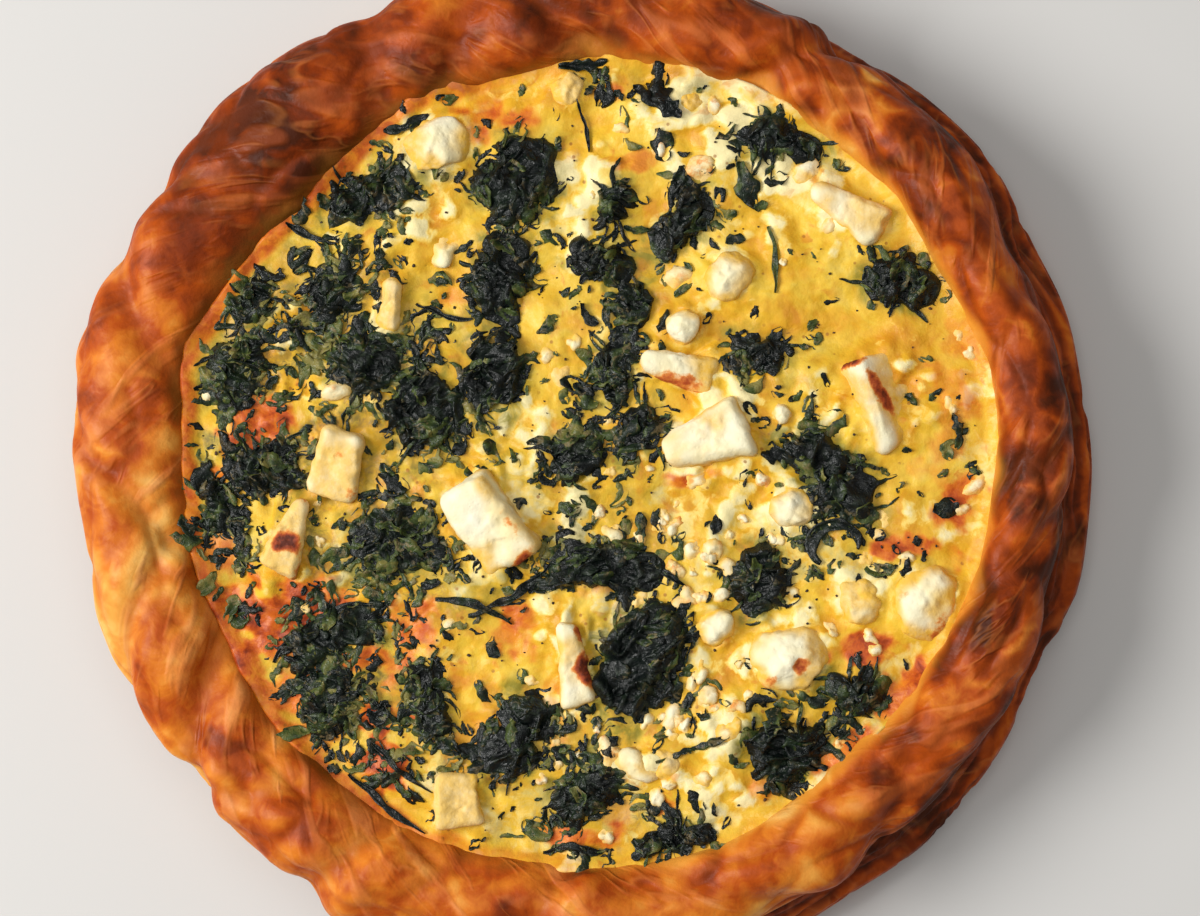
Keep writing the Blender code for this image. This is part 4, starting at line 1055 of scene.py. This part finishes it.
def lump(draw, x, y, size, level, rows, columns):
    """A small rounded crumb, flattened and uneven."""
    aim = ball_directions(rows, columns)
    shift = np.array((9 * x, 9 * y, 0))
    bumps = clouds(np.moveaxis(1.4 * aim + shift, -1, 0), 1, 77)
    grain = clouds(np.moveaxis(4 * aim + shift, -1, 0), 1, 78)
    form = size * 0.5 * (1 + 0.42 * bumps + 0.14 * grain)
    stretch = np.array((draw(0.8, 1.2), draw(0.7, 1), draw(0.5, 0.75)))
    turn = draw(0, TAU)
    along, across, up = np.moveaxis(aim * form[..., None] * stretch, -1, 0)
    px = x + along * cos(turn) - across * sin(turn)
    py = y + along * sin(turn) + across * cos(turn)
    pz = level + up + 0.12 * size
    return joined(px, py, pz), (x, y, pz[0].min()), (x, y, pz[-1].max())


def make_crumbs():
    """Crumbs of feta on the custard, most between the clumps right of the middle."""
    rng = np.random.default_rng(8)
    draw = rng.uniform

    def density(x, y):
        heap = np.exp(-(((x - 32) / 26) ** 2 + ((y + 30) / 34) ** 2))
        spread = 0.05 + 0.14 * fade(-30, 10, x) + 0.8 * heap
        return spread * (1 - closeness(x, y, SPINACH_NODES, 1)) * (1 - closeness(x, y, FETA_NODES, 1))

    tubes = []
    for x, y in scatter(rng, 95, density):
        size = draw(3, 9) * draw(0.6, 1)
        rings, first, last = lump(draw, x, y, size, on_custard(x, y) - 0.3 * size, 14, 22)
        low = fade(0.26 * size, 0.1, rings[..., 2] - on_custard(rings[..., 0], rings[..., 1])) * draw(0.8, 1)
        tubes.append((rings, first, last, {"scorch": 0 * low + draw(0, 0.25), "low": low}))
    make_tubes("feta_crumbs", tubes, FETA, "feta")


def make_specks():
    """Ground pepper and burnt crumbs, 0.3 to 0.9 mm, over the whole filling."""
    rng = np.random.default_rng(11)
    places = scatter(rng, 330, lambda x, y: 0.25 + 0.75 * fade(-0.1, 0.4, clouds((x, y), 18, 12)))
    tubes = [(*lump(rng.uniform, x, y, rng.uniform(0.3, 0.9), on_custard(x, y) + 0.1, 3, 6), {})
             for x, y in places]
    make_tubes("pepper_specks", tubes, SPECK, "spinach")


# Stage, light and camera


def add_stage():
    finish = Finish("pale_floor")
    finish.inputs["Base Color"].default_value = linear("cdccca")
    finish.inputs["Roughness"].default_value = 0.7
    bpy.ops.mesh.primitive_plane_add(size=6, location=(0, 0, -0.0003))
    floor = bpy.context.object
    floor.name = "floor"
    floor.data.materials.append(finish.material)


def add_light(name, place, size, power, colour):
    """A round soft lamp that faces the frame's origin."""
    lamp = bpy.data.lights.new(name, "AREA")
    lamp.shape = "DISK"
    lamp.size = size
    lamp.energy = power
    lamp.color = colour
    made = new_object(name, lamp)
    made.location = x, y, z = place
    made.rotation_euler = (acos(z / np.linalg.norm(place)), 0, atan2(-y, -x) - 0.5 * pi)


def add_lights():
    add_light("window", (-1.25, 0.05, 1.15), 1, 31, (1, 0.985, 0.96))
    add_light("sky", (0.2, 0.3, 2), 1.6, 11, (1, 0.99, 0.97))
    world = bpy.data.worlds.new("room")
    bpy.context.scene.world = world
    world.use_nodes = True
    background = world.node_tree.nodes["Background"].inputs
    background["Color"].default_value = (1, 0.985, 0.96, 1)
    background["Strength"].default_value = 0.26
    bpy.context.scene.view_settings.view_transform = "Standard"


CAMERA_TILT = radians(5)
CAMERA_SIDE = radians(-20)
CAMERA_DISTANCE = 0.78
CAMERA_TARGET = (0.0059, 0.0029, CUSTARD_LEVEL * MM)
SENSOR_WIDTH = 36
FRAME_WIDTH = 0.2885
LENS_SHIFT = 0.12


def add_camera():
    """Almost straight above, leaning to the right."""
    aside = sin(CAMERA_TILT)
    out = np.array((aside * cos(CAMERA_SIDE), aside * sin(CAMERA_SIDE), cos(CAMERA_TILT)))
    eye = np.array(CAMERA_TARGET) + (LENS_SHIFT * FRAME_WIDTH, 0, 0) + CAMERA_DISTANCE * out
    right = np.cross((0, 1, 0), out)
    right /= np.linalg.norm(right)
    lens = bpy.data.cameras.new("camera")
    lens.sensor_width = SENSOR_WIDTH
    lens.lens = SENSOR_WIDTH * CAMERA_DISTANCE / FRAME_WIDTH
    lens.shift_x = -LENS_SHIFT
    made = new_object("camera", lens)
    axes = np.column_stack((right, np.cross(out, right), out, eye))
    made.matrix_world = Matrix(np.vstack((axes, (0, 0, 0, 1))).tolist())
    bpy.context.scene.camera = made


make_custard()
make_rim()
make_base()
for order, name in enumerate(FETA_NODES):
    make_feta(name, order)
for order, name in enumerate(SPINACH_NODES):
    make_spinach(name, order)
make_shreds()
make_scraps()
make_loose_leaves()
make_crumbs()
make_specks()
add_stage()
add_lights()
add_camera()
